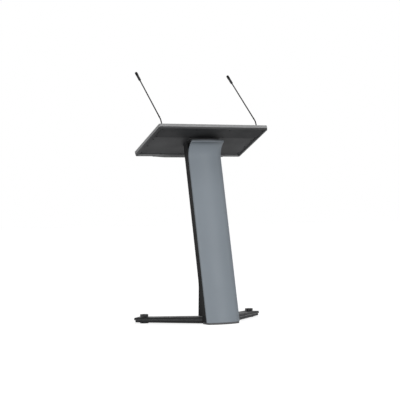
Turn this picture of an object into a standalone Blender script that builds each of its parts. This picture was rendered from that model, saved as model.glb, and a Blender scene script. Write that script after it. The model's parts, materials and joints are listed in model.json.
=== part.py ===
"""Presentation lectern: a sloping desk on one leaning column, with two splayed rear legs.

Metres, +Z up. X runs across the desk, -Y is the audience side and +Y the speaker's side.
The origin lies on the floor, under the centre of the whole lectern.
Two more frames are used: the column's, whose Z runs up along its lean, and the desk's,
whose origin is the middle of the desk's upper edge, with Y down the slope and Z square to it.
"""
import bpy
import bmesh
from math import acos, atan2, cos, hypot, pi, radians, sin, sqrt, tan
from mathutils import Vector

# ---------------------------------------------------------------- driving dimensions
GAP = 0.0003                    # running gap between touching pieces

DESK_WIDTH = 0.702
DESK_DEPTH = 0.400              # measured down the slope
DESK_TILT = radians(21.0)
DESK_EDGE_HEIGHT = 1.1536       # height of the upper, audience-side edge
DESK_SEAT = 0.2026              # down the slope, where the spine's centre line meets the desk
DESK_CORNER = 0.010
BOARD_THICK = 0.0175
BAND_THICK = 0.0020             # edge band round the board
BOARD_CHAMFER = 0.0004
TRAY_DEPTH = 0.0100             # under the board
TRAY_INSET = 0.0020
TRAY_FLOOR = 0.0025
TRAY_RIM = 0.0110
TRAY_WELL_CORNER = 0.0030
EDGE_CHAMFER = 0.0008

COVER_DEPTH = 0.115             # closing plate under the microphone sockets, down the slope
COVER_MARGIN = 0.004            # from that plate to the tray's rim
COVER_PAN = 0.0052              # how far the plate stands off the tray's floor
COVER_SHEET = 0.0015
COVER_CORNER = 0.0060

STOP_WIDTH = 0.470              # paper stop on the speaker's edge
STOP_TAPER = 0.095
STOP_MIN = 0.003
STOP_MAX = 0.0135
STOP_RISE = 0.016               # above the desk's surface
STOP_CHAMFER = 0.0006

LEAN = radians(12.0)
PANEL_HALF = 0.106
PANEL_BOW = 0.028               # how far its middle stands in front of its edges
PANEL_SHEET = 0.0025
PANEL_RETURN = 0.0060           # sides folded back, at the foot and at the top
PANEL_TOP_RETURN = 0.0037
PANEL_ROUND = 0.0045
PANEL_TOP_ROUND = 0.0030
PANEL_FOOT = 0.0105             # height of its lower edge
FLARE_RADIUS = 0.090            # it curls forward under the desk
FLARE_TURN = radians(70.0)
HEM_RADIUS = 0.0040
HEM_RISE = 0.0090               # upright lip
HEM_UNDER_DESK = 0.0206         # from the lip's ends up to the tray's rim plane

SHELL_SHEET = 0.0020            # rear shell of the column
SHELL_DEPTH = 0.0665            # level, from the panel's edges to the shell's back
SHELL_LAP = 0.0048
SHELL_CORNER = 0.0080
SHELL_FOOT_Y = 0.1280           # its back at the floor
SHELL_KNEE_SLOPE = 0.066        # how much its foot spreads, per unit of height
KNEE_BLEND = 0.0030

SPINE_WIDTH = 0.090
SPINE_DEPTH = 0.040
SPINE_WALL = 0.003
SPINE_CORNER = 0.005
SPINE_Y = 0.0275                # centre, square to the column, behind the panel's edges
TIE_LOW = 0.240                 # along the column
TIE_UNDER_FLARE = 0.1815
TIE_THICK = 0.020
TIE_WIDTH = 0.120

PLATE_EDGE = 0.0032             # steel plate that carries the desk, inside the shell's sides
PLATE_LENGTH = 0.118
PLATE_THICK = 0.005
PLATE_CORNER = 0.008
PLATE_BOLT_EDGE_X = 0.014       # from the plate's edges to its bolts
PLATE_BOLT_EDGE_Y = 0.011
BOLT_SHANK = 0.0040
BOLT_HEAD = 0.0070
BOLT_HEAD_HIGH = 0.0042
BOLT_HOLE = 0.0044

SOLE_THICK = 0.0020
SOLE_INSET = 0.0015
BASE_TOP = 0.0100
BASE_LIP = 0.0030               # base plate in front of the panel
BASE_EDGE = 0.0050              # inside the panel's sides
BASE_CORNER = 0.018
UPSTAND_THICK = 0.006
UPSTAND_EDGE = 0.0060           # inside the base's sides
UPSTAND_TOP = 0.0345
LEG_ROOT_Y = 0.0660
LEG_BOLT_X = (0.028, 0.074)
LEG_BOLT_Z = 0.0235
LEG_BOLT_LENGTH = 0.012

LEG_TIP_X = 0.416               # outer corner of a leg's tip
LEG_TIP_Y = 0.3375
LEG_SPLAY = radians(49.0)       # from +Y
LEG_WIDTH = 0.095
LEG_SLOPE_LENGTH = 0.600
LEG_BOTTOM_TIP = 0.0075
LEG_BOTTOM_ROOT = 0.0020        # at LEG_SLOPE_LENGTH from the tip
LEG_TOP_TIP = 0.0340
LEG_TOP_ROOT = 0.0440
LEG_LEDGE = 0.0030              # how far the upper half overhangs the lower
LEG_TIP_LEDGE = 0.0060
LEG_BEAD = 0.0012
LEG_BEAD_HIGH = 0.0026
LEG_WALL = 0.0040
LEG_ROUND = 0.0030
SHELL_CLEAR_LEG = 0.0010

FOOT_BACK = 0.0480              # from the leg's tip to the levelling foot
PAD_RADIUS = 0.0250
PAD_EDGE = 0.0050
PAD_HIGH = 0.0120
PAD_NECK = 0.0105
PAD_SEAT = 0.0050               # the screw turns on this level
SCREW_RADIUS = 0.0050
SCREW_CLEAR = 0.0003
BUSH_RADIUS = 0.0120
BUSH_HIGH = 0.0080
BUSH_CLEAR = 0.0008             # under the leg's top wall
KNOB_RADIUS = 0.0250
KNOB_LOBES = 5
KNOB_DIP = 0.0035
KNOB_HIGH = 0.0150
KNOB_CAP = 0.0045               # over the end of the screw
KNOB_STAND = 0.0025             # over the leg

MIC_EDGE = 0.042                # from the desk's sides
MIC_Y = 0.0555                  # down the slope
SOCKET_FLANGE = 0.0120
SOCKET_FLANGE_HIGH = 0.0026     # let into the board, flush with its surface
SOCKET_BARREL = 0.0070
SOCKET_LENGTH = 0.0236          # below the desk's surface
SOCKET_CLEAR = 0.0003
NUT_FLATS = 0.0190
NUT_HIGH = 0.0028
PLUG_RADIUS = 0.0040
PLUG_DEPTH = 0.0200
FERRULE_RADIUS = 0.0060
FERRULE_HIGH = 0.0200
FERRULE_NOSE = 0.0050
FERRULE_NOSE_SKIN = 0.0006
NECK_RADIUS = 0.0035
NECK_BEND_HEIGHT = 0.051        # of the bend's middle, square to the desk
NECK_BEND_RADIUS = 0.060
MIC_LEAN = radians(48.8)        # of the stem, from upright
MIC_REACH = 0.4745              # from the bend's middle to the tip
PIVOT_SIDE = 0.004              # along the bend, from its start
PIVOT_LEAN = 0.024
PIVOT_SKIN = 0.0003
NECK_AFTER_BEND = 0.010
COLLAR_RADIUS = 0.0045
COLLAR_LENGTH = 0.012
STEM_RADIUS = 0.0028
CAPSULE_RADIUS = 0.0053
CAPSULE_LENGTH = 0.044
CAPSULE_TAPER = 0.010
SCREEN_RADIUS = 0.0062
SCREEN_LENGTH = 0.033

GROMMET_HEIGHT = 0.105          # cable outlet in the shell's foot
GROMMET_HOLE = 0.0100
GROMMET_FLANGE = 0.0130
GROMMET_BORE = 0.0060
GROMMET_BEHIND = 0.0022
GROMMET_OUT = 0.0030

# ---------------------------------------------------------------- derived places
MIC_BEND_TURN = MIC_LEAN - DESK_TILT
BEND_START = NECK_BEND_HEIGHT - NECK_BEND_RADIUS * tan(MIC_BEND_TURN / 2)
BEND_LENGTH = NECK_BEND_RADIUS * MIC_BEND_TURN
TRAY_TOP = -(BOARD_THICK + GAP)
TRAY_BOTTOM = TRAY_TOP - TRAY_DEPTH
FLOOR_UNDER = TRAY_TOP - TRAY_FLOOR
PLATE_TOP = FLOOR_UNDER - GAP
PLATE_UNDER = PLATE_TOP - PLATE_THICK
COLUMN_TOP = PLATE_UNDER - GAP          # in the desk's frame
SEAT_HEIGHT = DESK_EDGE_HEIGHT - DESK_SEAT * sin(DESK_TILT) + COLUMN_TOP * cos(DESK_TILT)
SPINE_REACH = (SEAT_HEIGHT - PANEL_FOOT + SPINE_Y * sin(LEAN)) / cos(LEAN)
DESK_EDGE_Y = (SPINE_Y * cos(LEAN) + SPINE_REACH * sin(LEAN)
               - DESK_SEAT * cos(DESK_TILT) - COLUMN_TOP * sin(DESK_TILT))
MIC_X = DESK_WIDTH / 2 - MIC_EDGE
SIDE_AT = BEND_START + PIVOT_SIDE       # along a neck, from its socket
LEAN_AT = BEND_START + PIVOT_LEAN
COLLAR_AT = BEND_START + BEND_LENGTH + NECK_AFTER_BEND
SHELL_HALF = PANEL_HALF - PANEL_SHEET - GAP
BASE_HALF = PANEL_HALF - BASE_EDGE
PLATE_WIDTH = 2 * (SHELL_HALF - PLATE_EDGE)
PLATE_BOLT_X = PLATE_WIDTH / 2 - PLATE_BOLT_EDGE_X
PLATE_BOLT_Y = PLATE_LENGTH / 2 - PLATE_BOLT_EDGE_Y
KNEE_HEIGHT = ((SHELL_FOOT_Y - SHELL_DEPTH + PANEL_FOOT * tan(LEAN))
               / (tan(LEAN) + SHELL_KNEE_SLOPE))
HEM_FORWARD = (FLARE_RADIUS * (cos(LEAN) - cos(FLARE_TURN - LEAN))
               + HEM_RADIUS * (1 - cos(FLARE_TURN - LEAN)))
HEM_TOP = (FLARE_RADIUS * (sin(LEAN) + sin(FLARE_TURN - LEAN))
           + HEM_RADIUS * sin(FLARE_TURN - LEAN) + HEM_RISE)
FLARE_START = ((DESK_EDGE_HEIGHT + TRAY_BOTTOM / cos(DESK_TILT) - HEM_UNDER_DESK - HEM_TOP
                + (DESK_EDGE_Y + HEM_FORWARD + PANEL_FOOT * tan(LEAN)) * tan(DESK_TILT))
               / (1 + tan(LEAN) * tan(DESK_TILT)))
FRONT_Y = -(PANEL_BOW + BASE_LIP)
TIP_Y = (DESK_EDGE_Y + MIC_Y * cos(DESK_TILT) + NECK_BEND_HEIGHT * sin(DESK_TILT)
         + (MIC_REACH - SCREEN_RADIUS) * sin(MIC_LEAN) + SCREEN_RADIUS)
CENTRE_Y = (FRONT_Y + TIP_Y) / 2        # middle of the lectern, from the foot of the panel


# ---------------------------------------------------------------- scene helpers
def clear_scene():
    for old in list(bpy.data.objects):
        bpy.data.objects.remove(old, do_unlink=True)


def make_material(name, colour, roughness, metallic=0.0):
    material = bpy.data.materials.new(name)
    material.use_nodes = True
    shader = material.node_tree.nodes["Principled BSDF"]
    shader.inputs["Base Color"].default_value = (*colour, 1.0)
    shader.inputs["Roughness"].default_value = roughness
    shader.inputs["Metallic"].default_value = metallic
    return material


def add_empty(name, parent=None, location=(0, 0, 0), rotation=(0, 0, 0)):
    empty = bpy.data.objects.new(name, None)
    bpy.context.scene.collection.objects.link(empty)
    empty.parent = parent
    empty.location = location
    empty.rotation_euler = rotation
    return empty


def add_body(name, bm, material, parent, location=(0, 0, 0), rotation=(0, 0, 0), smooth=None):
    """Link a bmesh as one named object; smooth is the angle above which edges stay sharp."""
    bmesh.ops.recalc_face_normals(bm, faces=bm.faces)
    mesh = bpy.data.meshes.new(name)
    bm.to_mesh(mesh)
    bm.free()
    if smooth is not None:
        mesh.shade_smooth()
        mesh.set_sharp_from_angle(angle=smooth)
    body = bpy.data.objects.new(name, mesh)
    bpy.context.scene.collection.objects.link(body)
    if material is not None:
        mesh.materials.append(material)
    body.parent = parent
    body.location = location
    body.rotation_euler = rotation
    return body


def shape_with(body, tool, operation):
    """Add a hidden tool to a body (UNION) or take it away (DIFFERENCE)."""
    modifier = body.modifiers.new(tool.name, "BOOLEAN")
    modifier.operation = operation
    modifier.solver = "EXACT"
    modifier.object = tool


def cut(body, tool):
    shape_with(body, tool, "DIFFERENCE")


def hidden_tool(name, bm, parent, location=(0, 0, 0), rotation=(0, 0, 0)):
    """Body that only shapes others by union or difference."""
    tool = add_body(name, bm, None, parent, location, rotation)
    tool.hide_render = True
    tool.display_type = "WIRE"
    return tool


# ---------------------------------------------------------------- form helpers
def loft(rings, closed=False):
    """Skin a stack of rings with equal counts; cap both ends, or join the last to the first."""
    bm = bmesh.new()
    rows = [[bm.verts.new(point) for point in ring] for ring in rings]
    count = len(rows[0])
    pairs = list(zip(rows, rows[1:]))
    if closed:
        pairs.append((rows[-1], rows[0]))
    for low, high in pairs:
        for i in range(count):
            j = (i + 1) % count
            bm.faces.new((low[i], low[j], high[j], high[i]))
    if not closed:
        bm.faces.new(rows[0])
        bm.faces.new(rows[-1])
    return bm


def level_ring(outline, z):
    return [Vector((x, y, z)) for x, y in outline]


def prism(outline, low, high, chamfer=0.0):
    """Upright prism on an outline, with its rims chamfered."""
    if chamfer <= 0:
        return loft([level_ring(outline, low), level_ring(outline, high)])
    inner = inset(outline, chamfer)
    return loft([level_ring(inner, low), level_ring(outline, low + chamfer),
                 level_ring(outline, high - chamfer), level_ring(inner, high)])


def inset(outline, distance):
    """Move each side of an anticlockwise outline inward by a distance, or by one each."""
    count = len(outline)
    distances = distance if isinstance(distance, (list, tuple)) else [distance] * count
    sides = []
    for i in range(count):
        ax, ay = outline[i]
        bx, by = outline[(i + 1) % count]
        length = hypot(bx - ax, by - ay)
        nx, ny = -(by - ay) / length, (bx - ax) / length
        sides.append((nx, ny, nx * ax + ny * ay + distances[i]))
    moved = []
    for i in range(count):
        a1, b1, c1 = sides[i - 1]
        a2, b2, c2 = sides[i]
        det = a1 * b2 - a2 * b1
        if abs(det) < 1e-9:
            x, y = outline[i]
            shift = distances[i]
            moved.append((x + a2 * shift, y + b2 * shift))
        else:
            moved.append(((c1 * b2 - c2 * b1) / det, (a1 * c2 - a2 * c1) / det))
    return moved


def fillet(outline, radius, steps=5):
    """Round the corners of an anticlockwise outline; radius is one value, or one per corner."""
    count = len(outline)
    radii = radius if isinstance(radius, (list, tuple)) else [radius] * count
    points = []
    for i in range(count):
        corner = Vector(outline[i])
        if radii[i] <= 0:
            points.append(tuple(corner))
            continue
        before = (Vector(outline[i - 1]) - corner).normalized()
        after = (Vector(outline[(i + 1) % count]) - corner).normalized()
        half = acos(max(-1.0, min(1.0, before.dot(after)))) / 2
        centre = corner + (before + after).normalized() * radii[i] / sin(half)
        start = corner + before * radii[i] / tan(half) - centre
        end = corner + after * radii[i] / tan(half) - centre
        first = atan2(start.y, start.x)
        turn = (atan2(end.y, end.x) - first + pi) % (2 * pi) - pi
        for k in range(steps + 1):
            angle = first + turn * k / steps
            points.append((centre.x + radii[i] * cos(angle), centre.y + radii[i] * sin(angle)))
    return points


def rectangle(width, depth, y0=0.0):
    """Centred on X, from y0 to y0 + depth."""
    half = width / 2
    return [(-half, y0), (half, y0), (half, y0 + depth), (-half, y0 + depth)]


def circle(radius, count):
    return [(radius * cos(2 * pi * i / count), radius * sin(2 * pi * i / count))
            for i in range(count)]


def turned(profile, count=32, closed=False):
    """Solid of revolution about Z from (radius, z) pairs; closed joins the last to the first."""
    rings = [level_ring(circle(radius, count), z) for radius, z in profile]
    return loft(rings, closed)


def dome(radius, centre_z, sign, steps=4, tip=0.02):
    """(radius, z) pairs of a half-sphere from its rim to just short of its pole."""
    last = pi / 2 - tip
    return [(radius * cos(last * k / steps), centre_z + sign * radius * sin(last * k / steps))
            for k in range(1, steps + 1)]


def drill(name, radius, length, parent, location, rotation=(0, 0, 0), count=32):
    bm = turned([(radius, -length / 2), (radius, length / 2)], count)
    return hidden_tool(name, bm, parent, location, rotation)


# ---------------------------------------------------------------- materials
clear_scene()
PANEL_BLUE = make_material("panel_blue_grey", (0.245, 0.275, 0.310), 0.38, 0.35)
BLACK_STEEL = make_material("black_powder_coat", (0.020, 0.021, 0.023), 0.50)
BLACK_CAST = make_material("black_cast_leg", (0.026, 0.027, 0.029), 0.46)
BOARD_GREY = make_material("board_laminate", (0.070, 0.074, 0.080), 0.55)
BAND_GREY = make_material("edge_band", (0.300, 0.300, 0.300), 0.50)
RAW_STEEL = make_material("zinc_steel", (0.450, 0.450, 0.450), 0.35, 1.0)
BLACK_PLASTIC = make_material("black_plastic", (0.018, 0.018, 0.019), 0.45)
BLACK_RUBBER = make_material("black_rubber", (0.012, 0.012, 0.012), 0.80)
MIC_BLACK = make_material("microphone_black", (0.022, 0.022, 0.024), 0.35)
FOAM_BLACK = make_material("windscreen_foam", (0.012, 0.012, 0.012), 0.95)

LECTERN = add_empty("lectern_foot", None, (0, -CENTRE_Y, 0))
COLUMN = add_empty("column_frame", LECTERN, (0, 0, PANEL_FOOT), (-LEAN, 0, 0))
DESK = add_empty("desk_frame", LECTERN, (0, DESK_EDGE_Y, DESK_EDGE_HEIGHT), (-DESK_TILT, 0, 0))


# ---------------------------------------------------------------- column geometry
def panel_arc(x):
    """How far in front of its edges the panel stands at x."""
    return PANEL_BOW * (1 - (x / PANEL_HALF) ** 2)


def column_to_level(y, height):
    """Z along the column at which a line (its own y) crosses a level height."""
    return (height - PANEL_FOOT + y * sin(LEAN)) / cos(LEAN)


def column_to_desk(y, depth):
    """Z along the column at which a line crosses the plane depth below the desk's surface."""
    rise = (DESK_EDGE_HEIGHT - PANEL_FOOT) * cos(DESK_TILT) + DESK_EDGE_Y * sin(DESK_TILT)
    return (rise + depth - y * sin(DESK_TILT - LEAN)) / cos(DESK_TILT - LEAN)


def column_prism(outline, hole=None):
    """Tube or bar along the column, level at its foot and parallel to the desk at its top."""
    def ends(loop):
        foot = [Vector((x, y, column_to_level(y, BASE_TOP + GAP))) for x, y in loop]
        head = [Vector((x, y, column_to_desk(y, COLUMN_TOP))) for x, y in loop]
        return foot, head
    foot, head = ends(outline)
    if hole is None:
        return loft([foot, head])
    inner_foot, inner_head = ends(hole)
    return loft([foot, head, inner_head, inner_foot], closed=True)


# ---------------------------------------------------------------- base
def base_outline(lip, half, corner):
    """Plan of the base plate: a bowed front that follows the panel, and a straight back."""
    steps = 10
    front = []
    for i in range(steps + 1):
        x = -half + 2 * half * i / steps
        front.append((x, -panel_arc(x) - lip))
    back = LEG_ROOT_Y - GAP
    outline = front + [(half, back), (-half, back)]
    radii = [0.0] * len(outline)
    radii[0] = radii[steps] = corner
    return fillet(outline, radii, 6)


def build_base():
    outline = base_outline(BASE_LIP, BASE_HALF, BASE_CORNER)
    sole = prism(inset(outline, SOLE_INSET), 0.0, SOLE_THICK)
    add_body("base_sole", sole, BLACK_RUBBER, LECTERN)
    plate = prism(outline, SOLE_THICK + GAP, BASE_TOP, EDGE_CHAMFER)
    plate_body = add_body("base_plate", plate, BLACK_STEEL, LECTERN)
    back = LEG_ROOT_Y - GAP
    upstand = prism(rectangle(2 * (BASE_HALF - UPSTAND_EDGE), UPSTAND_THICK,
                              back - UPSTAND_THICK), BASE_TOP / 2, UPSTAND_TOP)
    shape_with(plate_body, hidden_tool("base_upstand", upstand, LECTERN), "UNION")
    for side, sign in (("left", -1), ("right", 1)):
        for place, x in (("inner", LEG_BOLT_X[0]), ("outer", LEG_BOLT_X[1])):
            name = f"leg_bolt_{side}_{place}"
            cut(plate_body, drill(name + "_hole", BOLT_HOLE, 4 * LEG_BOLT_LENGTH, LECTERN,
                                  (sign * x, back, LEG_BOLT_Z), (pi / 2, 0, 0)))
            bolt = bolt_body(LEG_BOLT_LENGTH + UPSTAND_THICK)
            add_body(name, bolt, RAW_STEEL, LECTERN,
                     (sign * x, back - UPSTAND_THICK - GAP, LEG_BOLT_Z), (pi / 2, 0, 0),
                     radians(40))


def bolt_body(length):
    """Round-headed bolt: its head stands on z = 0 and its shank hangs below."""
    return turned([(BOLT_SHANK, -length), (BOLT_SHANK, 0.0), (BOLT_HEAD, 0.0),
                   (BOLT_HEAD, BOLT_HEAD_HIGH * 0.6), (BOLT_HEAD * 0.8, BOLT_HEAD_HIGH)], 24)


# ---------------------------------------------------------------- legs
LEG_DIR = Vector((sin(LEG_SPLAY), cos(LEG_SPLAY)))      # right leg, root to tip
LEG_IN = Vector((-cos(LEG_SPLAY), sin(LEG_SPLAY)))      # across it, toward the other leg
LEG_TIP = Vector((LEG_TIP_X, LEG_TIP_Y))


def leg_outline(side_inset=0.0, tip_inset=0.0):
    """Right leg in plan, anticlockwise: outer side, tip, inner side, mitre, root."""
    tip = LEG_TIP - LEG_DIR * tip_inset
    outer = tip + LEG_IN * side_inset
    inner = tip + LEG_IN * (LEG_WIDTH - side_inset)
    root_y = LEG_ROOT_Y + side_inset
    middle = GAP + side_inset
    outer_root = outer - LEG_DIR * ((outer.y - root_y) / LEG_DIR.y)
    apex = inner - LEG_DIR * ((inner.x - middle) / LEG_DIR.x)
    points = [outer_root, outer, inner, apex, Vector((middle, root_y))]
    return [(p.x, p.y) for p in points]


def leg_height(x, y, at_tip, at_root):
    along = (LEG_TIP - Vector((x, y))).dot(LEG_DIR)
    return at_tip + (at_root - at_tip) * along / LEG_SLOPE_LENGTH


def leg_ring(outline, at_tip, at_root, sign, offset=0.0):
    return [Vector((sign * x, y, leg_height(x, y, at_tip, at_root) + offset))
            for x, y in outline]


def foot_place():
    """Centre of the levelling foot on the right leg, and the leg's top there."""
    centre = LEG_TIP - LEG_DIR * FOOT_BACK + LEG_IN * (LEG_WIDTH / 2)
    top = leg_height(centre.x, centre.y, LEG_TOP_TIP, LEG_TOP_ROOT)
    return centre, top


def build_leg(side, sign):
    bottom = (LEG_BOTTOM_TIP, LEG_BOTTOM_ROOT)
    top = (LEG_TOP_TIP, LEG_TOP_ROOT)
    middle = [(low + high) / 2 for low, high in zip(bottom, top)]
    lower = leg_outline(LEG_LEDGE, LEG_TIP_LEDGE)
    upper = leg_outline()
    bead = leg_outline(-LEG_BEAD, -LEG_BEAD)
    rounded = leg_outline(LEG_ROUND, LEG_ROUND)
    hollow = leg_outline(LEG_LEDGE + LEG_WALL, LEG_TIP_LEDGE + LEG_WALL)
    bead[3:5] = upper[3:5]
    bead[0] = (bead[0][0], upper[0][1])
    rings = [leg_ring(hollow, *top, sign, -LEG_WALL),
             leg_ring(hollow, *bottom, sign),
             leg_ring(lower, *bottom, sign),
             leg_ring(lower, *middle, sign),
             leg_ring(bead, *middle, sign),
             leg_ring(bead, *middle, sign, LEG_BEAD_HIGH),
             leg_ring(upper, *middle, sign, LEG_BEAD_HIGH + LEG_BEAD),
             leg_ring(upper, *top, sign, -LEG_ROUND),
             leg_ring(inset(upper, LEG_ROUND * 0.3), *top, sign, -LEG_ROUND * 0.3),
             leg_ring(rounded, *top, sign)]
    body = add_body(f"{side}_leg", loft(rings), BLACK_CAST, LECTERN)
    centre, height = foot_place()
    cut(body, drill(f"{side}_leg_screw_hole", SCREW_RADIUS + SCREW_CLEAR, 2 * height,
                    LECTERN, (sign * centre.x, centre.y, height)))
    for place, x in (("inner", LEG_BOLT_X[0]), ("outer", LEG_BOLT_X[1])):
        cut(body, drill(f"{side}_leg_{place}_bolt_hole", BOLT_HOLE, 4 * LEG_BOLT_LENGTH,
                        LECTERN, (sign * x, LEG_ROOT_Y, LEG_BOLT_Z), (pi / 2, 0, 0)))


def knob_outline(scale=1.0):
    """Star knob in plan: rounded lobes with shallow dips between them."""
    count = 12 * KNOB_LOBES
    mean = KNOB_RADIUS - KNOB_DIP / 2
    points = []
    for i in range(count):
        angle = 2 * pi * i / count
        radius = (mean + KNOB_DIP / 2 * cos(KNOB_LOBES * angle)) * scale
        points.append((radius * cos(angle), radius * sin(angle)))
    return points


def build_foot(side, sign):
    centre, top = foot_place()
    place = (sign * centre.x, centre.y, 0)
    bore = SCREW_RADIUS + SCREW_CLEAR
    pad = turned([(PAD_RADIUS - 0.001, 0.0), (PAD_RADIUS, 0.001), (PAD_RADIUS, PAD_EDGE),
                  (PAD_NECK, PAD_HIGH), (bore, PAD_HIGH), (bore, PAD_SEAT)], 40)
    add_body(f"{side}_foot_pad", pad, BLACK_RUBBER, LECTERN, place, smooth=radians(30))

    ceiling = top - LEG_WALL - BUSH_CLEAR
    bush = turned([(BUSH_RADIUS, ceiling - BUSH_HIGH), (BUSH_RADIUS, ceiling),
                   (bore, ceiling), (bore, ceiling - BUSH_HIGH)], 24, closed=True)
    add_body(f"{side}_foot_bush", bush, RAW_STEEL, LECTERN, place, smooth=radians(30))

    knob_low = top + KNOB_STAND
    screw_top = knob_low + KNOB_HIGH - KNOB_CAP
    screw_foot = PAD_SEAT + GAP
    screw = turned([(SCREW_RADIUS - 0.001, screw_foot), (SCREW_RADIUS, screw_foot + 0.001),
                    (SCREW_RADIUS, screw_top - 0.001), (SCREW_RADIUS - 0.001, screw_top)], 24)
    add_body(f"{side}_levelling_screw", screw, RAW_STEEL, LECTERN, place, smooth=radians(50))

    count = len(knob_outline())
    rings = [level_ring(circle(bore, count), screw_top - knob_low + GAP),
             level_ring(circle(bore, count), 0.0),
             level_ring(knob_outline(0.90), 0.0),
             level_ring(knob_outline(), 0.0022),
             level_ring(knob_outline(), KNOB_HIGH - 0.0040),
             level_ring(knob_outline(0.95), KNOB_HIGH - 0.0012),
             level_ring(knob_outline(0.82), KNOB_HIGH)]
    add_body(f"{side}_levelling_knob", loft(rings), BLACK_PLASTIC, LECTERN,
             (place[0], place[1], knob_low), smooth=radians(35))


# ---------------------------------------------------------------- front panel
def panel_face(depth, rounding, sheet):
    """One face of the panel from side to side: (x, how far behind the front, square to it)."""
    steps = 14
    turns = 4
    edge = PANEL_HALF - sheet
    radius = max(rounding - sheet, 0.0004)
    right = [(edge, depth)]
    for k in range(turns + 1):
        angle = k * pi / 2 / turns
        right.append((edge - radius * (1 - cos(angle)), sheet + radius * (1 - sin(angle))))
    middle = [((PANEL_HALF - rounding) * (1 - 2 * i / steps), sheet) for i in range(1, steps)]
    return right + middle + [(-x, back) for x, back in reversed(right)]


def panel_path():
    """Stations up the panel's edges: (y, z, lean of the sheet there, share of the return)."""
    slope = tan(LEAN)
    stations = [(0.0, PANEL_FOOT, LEAN, 1.0)]
    y, z = (FLARE_START - PANEL_FOOT) * slope, FLARE_START
    stations.append((y, z, LEAN, 1.0))
    steps = 10
    for k in range(1, steps + 1):
        angle = LEAN - FLARE_TURN * k / steps
        stations.append((y + FLARE_RADIUS * (cos(angle) - cos(LEAN)),
                         z + FLARE_RADIUS * (sin(LEAN) - sin(angle)), angle, 1 - k / steps))
    y, z, start, _ = stations[-1]
    turns = 5
    for k in range(1, turns + 1):
        angle = start * (1 - k / turns)
        stations.append((y - HEM_RADIUS * (cos(angle) - cos(start)),
                         z + HEM_RADIUS * (sin(angle) - sin(start)), angle, 0.0))
    y, z, _, _ = stations[-1]
    stations.append((y, z + HEM_RISE, 0.0, 0.0))
    return stations


def build_front_panel():
    rings = []
    for number, (y, z, lean, share) in enumerate(panel_path()):
        depth = PANEL_TOP_RETURN + (PANEL_RETURN - PANEL_TOP_RETURN) * share
        rounding = PANEL_TOP_ROUND + (PANEL_ROUND - PANEL_TOP_ROUND) * share
        section = (panel_face(depth, rounding, 0.0)
                   + panel_face(depth, rounding, PANEL_SHEET)[::-1])
        ring = []
        for x, back in section:
            py = y - panel_arc(x) + back * cos(lean)
            pz = z - back * sin(lean)
            if number == 0:
                py += (PANEL_FOOT - pz) * tan(lean)
                pz = PANEL_FOOT
            ring.append(Vector((x, py, pz)))
        rings.append(ring)
    add_body("front_panel", loft(rings), PANEL_BLUE, LECTERN, smooth=radians(25))


# ---------------------------------------------------------------- rear shell and spine
def shell_back(z):
    """The shell's back at a level height: parallel to the column, spreading at the foot."""
    leaning = SHELL_DEPTH + (z - PANEL_FOOT) * tan(LEAN)
    spread = SHELL_FOOT_Y - SHELL_KNEE_SLOPE * z
    return (leaning + spread) / 2 + sqrt(((leaning - spread) / 2) ** 2 + KNEE_BLEND ** 2)


def shell_front(z):
    return SHELL_LAP + (z - PANEL_FOOT) * tan(LEAN)


def shell_section(front, back):
    """U-shaped plan of the shell, open toward the panel."""
    half = SHELL_HALF
    outer = fillet([(-half, front), (-half, back), (half, back), (half, front)][::-1],
                   [0, SHELL_CORNER, SHELL_CORNER, 0], 5)
    thin = half - SHELL_SHEET
    inner = fillet([(-thin, front), (-thin, back - SHELL_SHEET), (thin, back - SHELL_SHEET),
                    (thin, front)][::-1],
                   [0, SHELL_CORNER - SHELL_SHEET, SHELL_CORNER - SHELL_SHEET, 0], 5)
    return outer + inner[::-1]


def desk_plane_z(y, slope):
    """Height at which a line leaning by slope, through (y, 0), meets the column's top plane."""
    target = COLUMN_TOP + DESK_EDGE_Y * sin(DESK_TILT) + DESK_EDGE_HEIGHT * cos(DESK_TILT)
    return (target - y * sin(DESK_TILT)) / (slope * sin(DESK_TILT) + cos(DESK_TILT))


def build_rear_shell():
    foot = BASE_TOP + GAP
    below = KNEE_HEIGHT - 10 * KNEE_BLEND
    heights = [foot + (below - foot) * k / 3 for k in range(4)]
    heights += [KNEE_HEIGHT + KNEE_BLEND * step for step in (-6, -3, 0, 3, 6, 10, 20)]
    rings = [level_ring(shell_section(shell_front(z), shell_back(z)), z) for z in heights]
    slope = tan(LEAN)
    last = heights[-1]
    head = []
    for x, y in shell_section(shell_front(last), shell_back(last)):
        z = desk_plane_z(y - last * slope, slope)
        head.append(Vector((x, y + (z - last) * slope, z)))
    rings.append(head)
    body = add_body("rear_shell", loft(rings), BLACK_STEEL, LECTERN, smooth=radians(30))
    clear_y = LEG_ROOT_Y - SHELL_CLEAR_LEG
    clear_z = LEG_TOP_ROOT + SHELL_CLEAR_LEG
    notch = prism(rectangle(4 * PANEL_HALF, 2 * SHELL_FOOT_Y, clear_y), -clear_z, clear_z)
    cut(body, hidden_tool("rear_shell_leg_notch", notch, LECTERN))
    normal = atan2(SHELL_KNEE_SLOPE, 1.0)
    y = shell_back(GROMMET_HEIGHT)
    cut(body, drill("rear_shell_outlet", GROMMET_HOLE, 10 * SHELL_SHEET, LECTERN,
                    (0, y, GROMMET_HEIGHT), (-pi / 2 + normal, 0, 0)))
    neck = GROMMET_HOLE - GAP
    inside = -SHELL_SHEET - GAP
    ring = turned([(GROMMET_BORE, -SHELL_SHEET - GROMMET_BEHIND),
                   (GROMMET_FLANGE, -SHELL_SHEET - GROMMET_BEHIND), (GROMMET_FLANGE, inside),
                   (neck, inside), (neck, GAP), (GROMMET_FLANGE, GAP),
                   (GROMMET_FLANGE - 0.001, GROMMET_OUT * 0.8), (GROMMET_BORE, GROMMET_OUT)],
                  32, closed=True)
    add_body("cable_grommet", ring, BLACK_RUBBER, LECTERN, (0, y, GROMMET_HEIGHT),
             (-pi / 2 + normal, 0, 0), radians(40))


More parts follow.
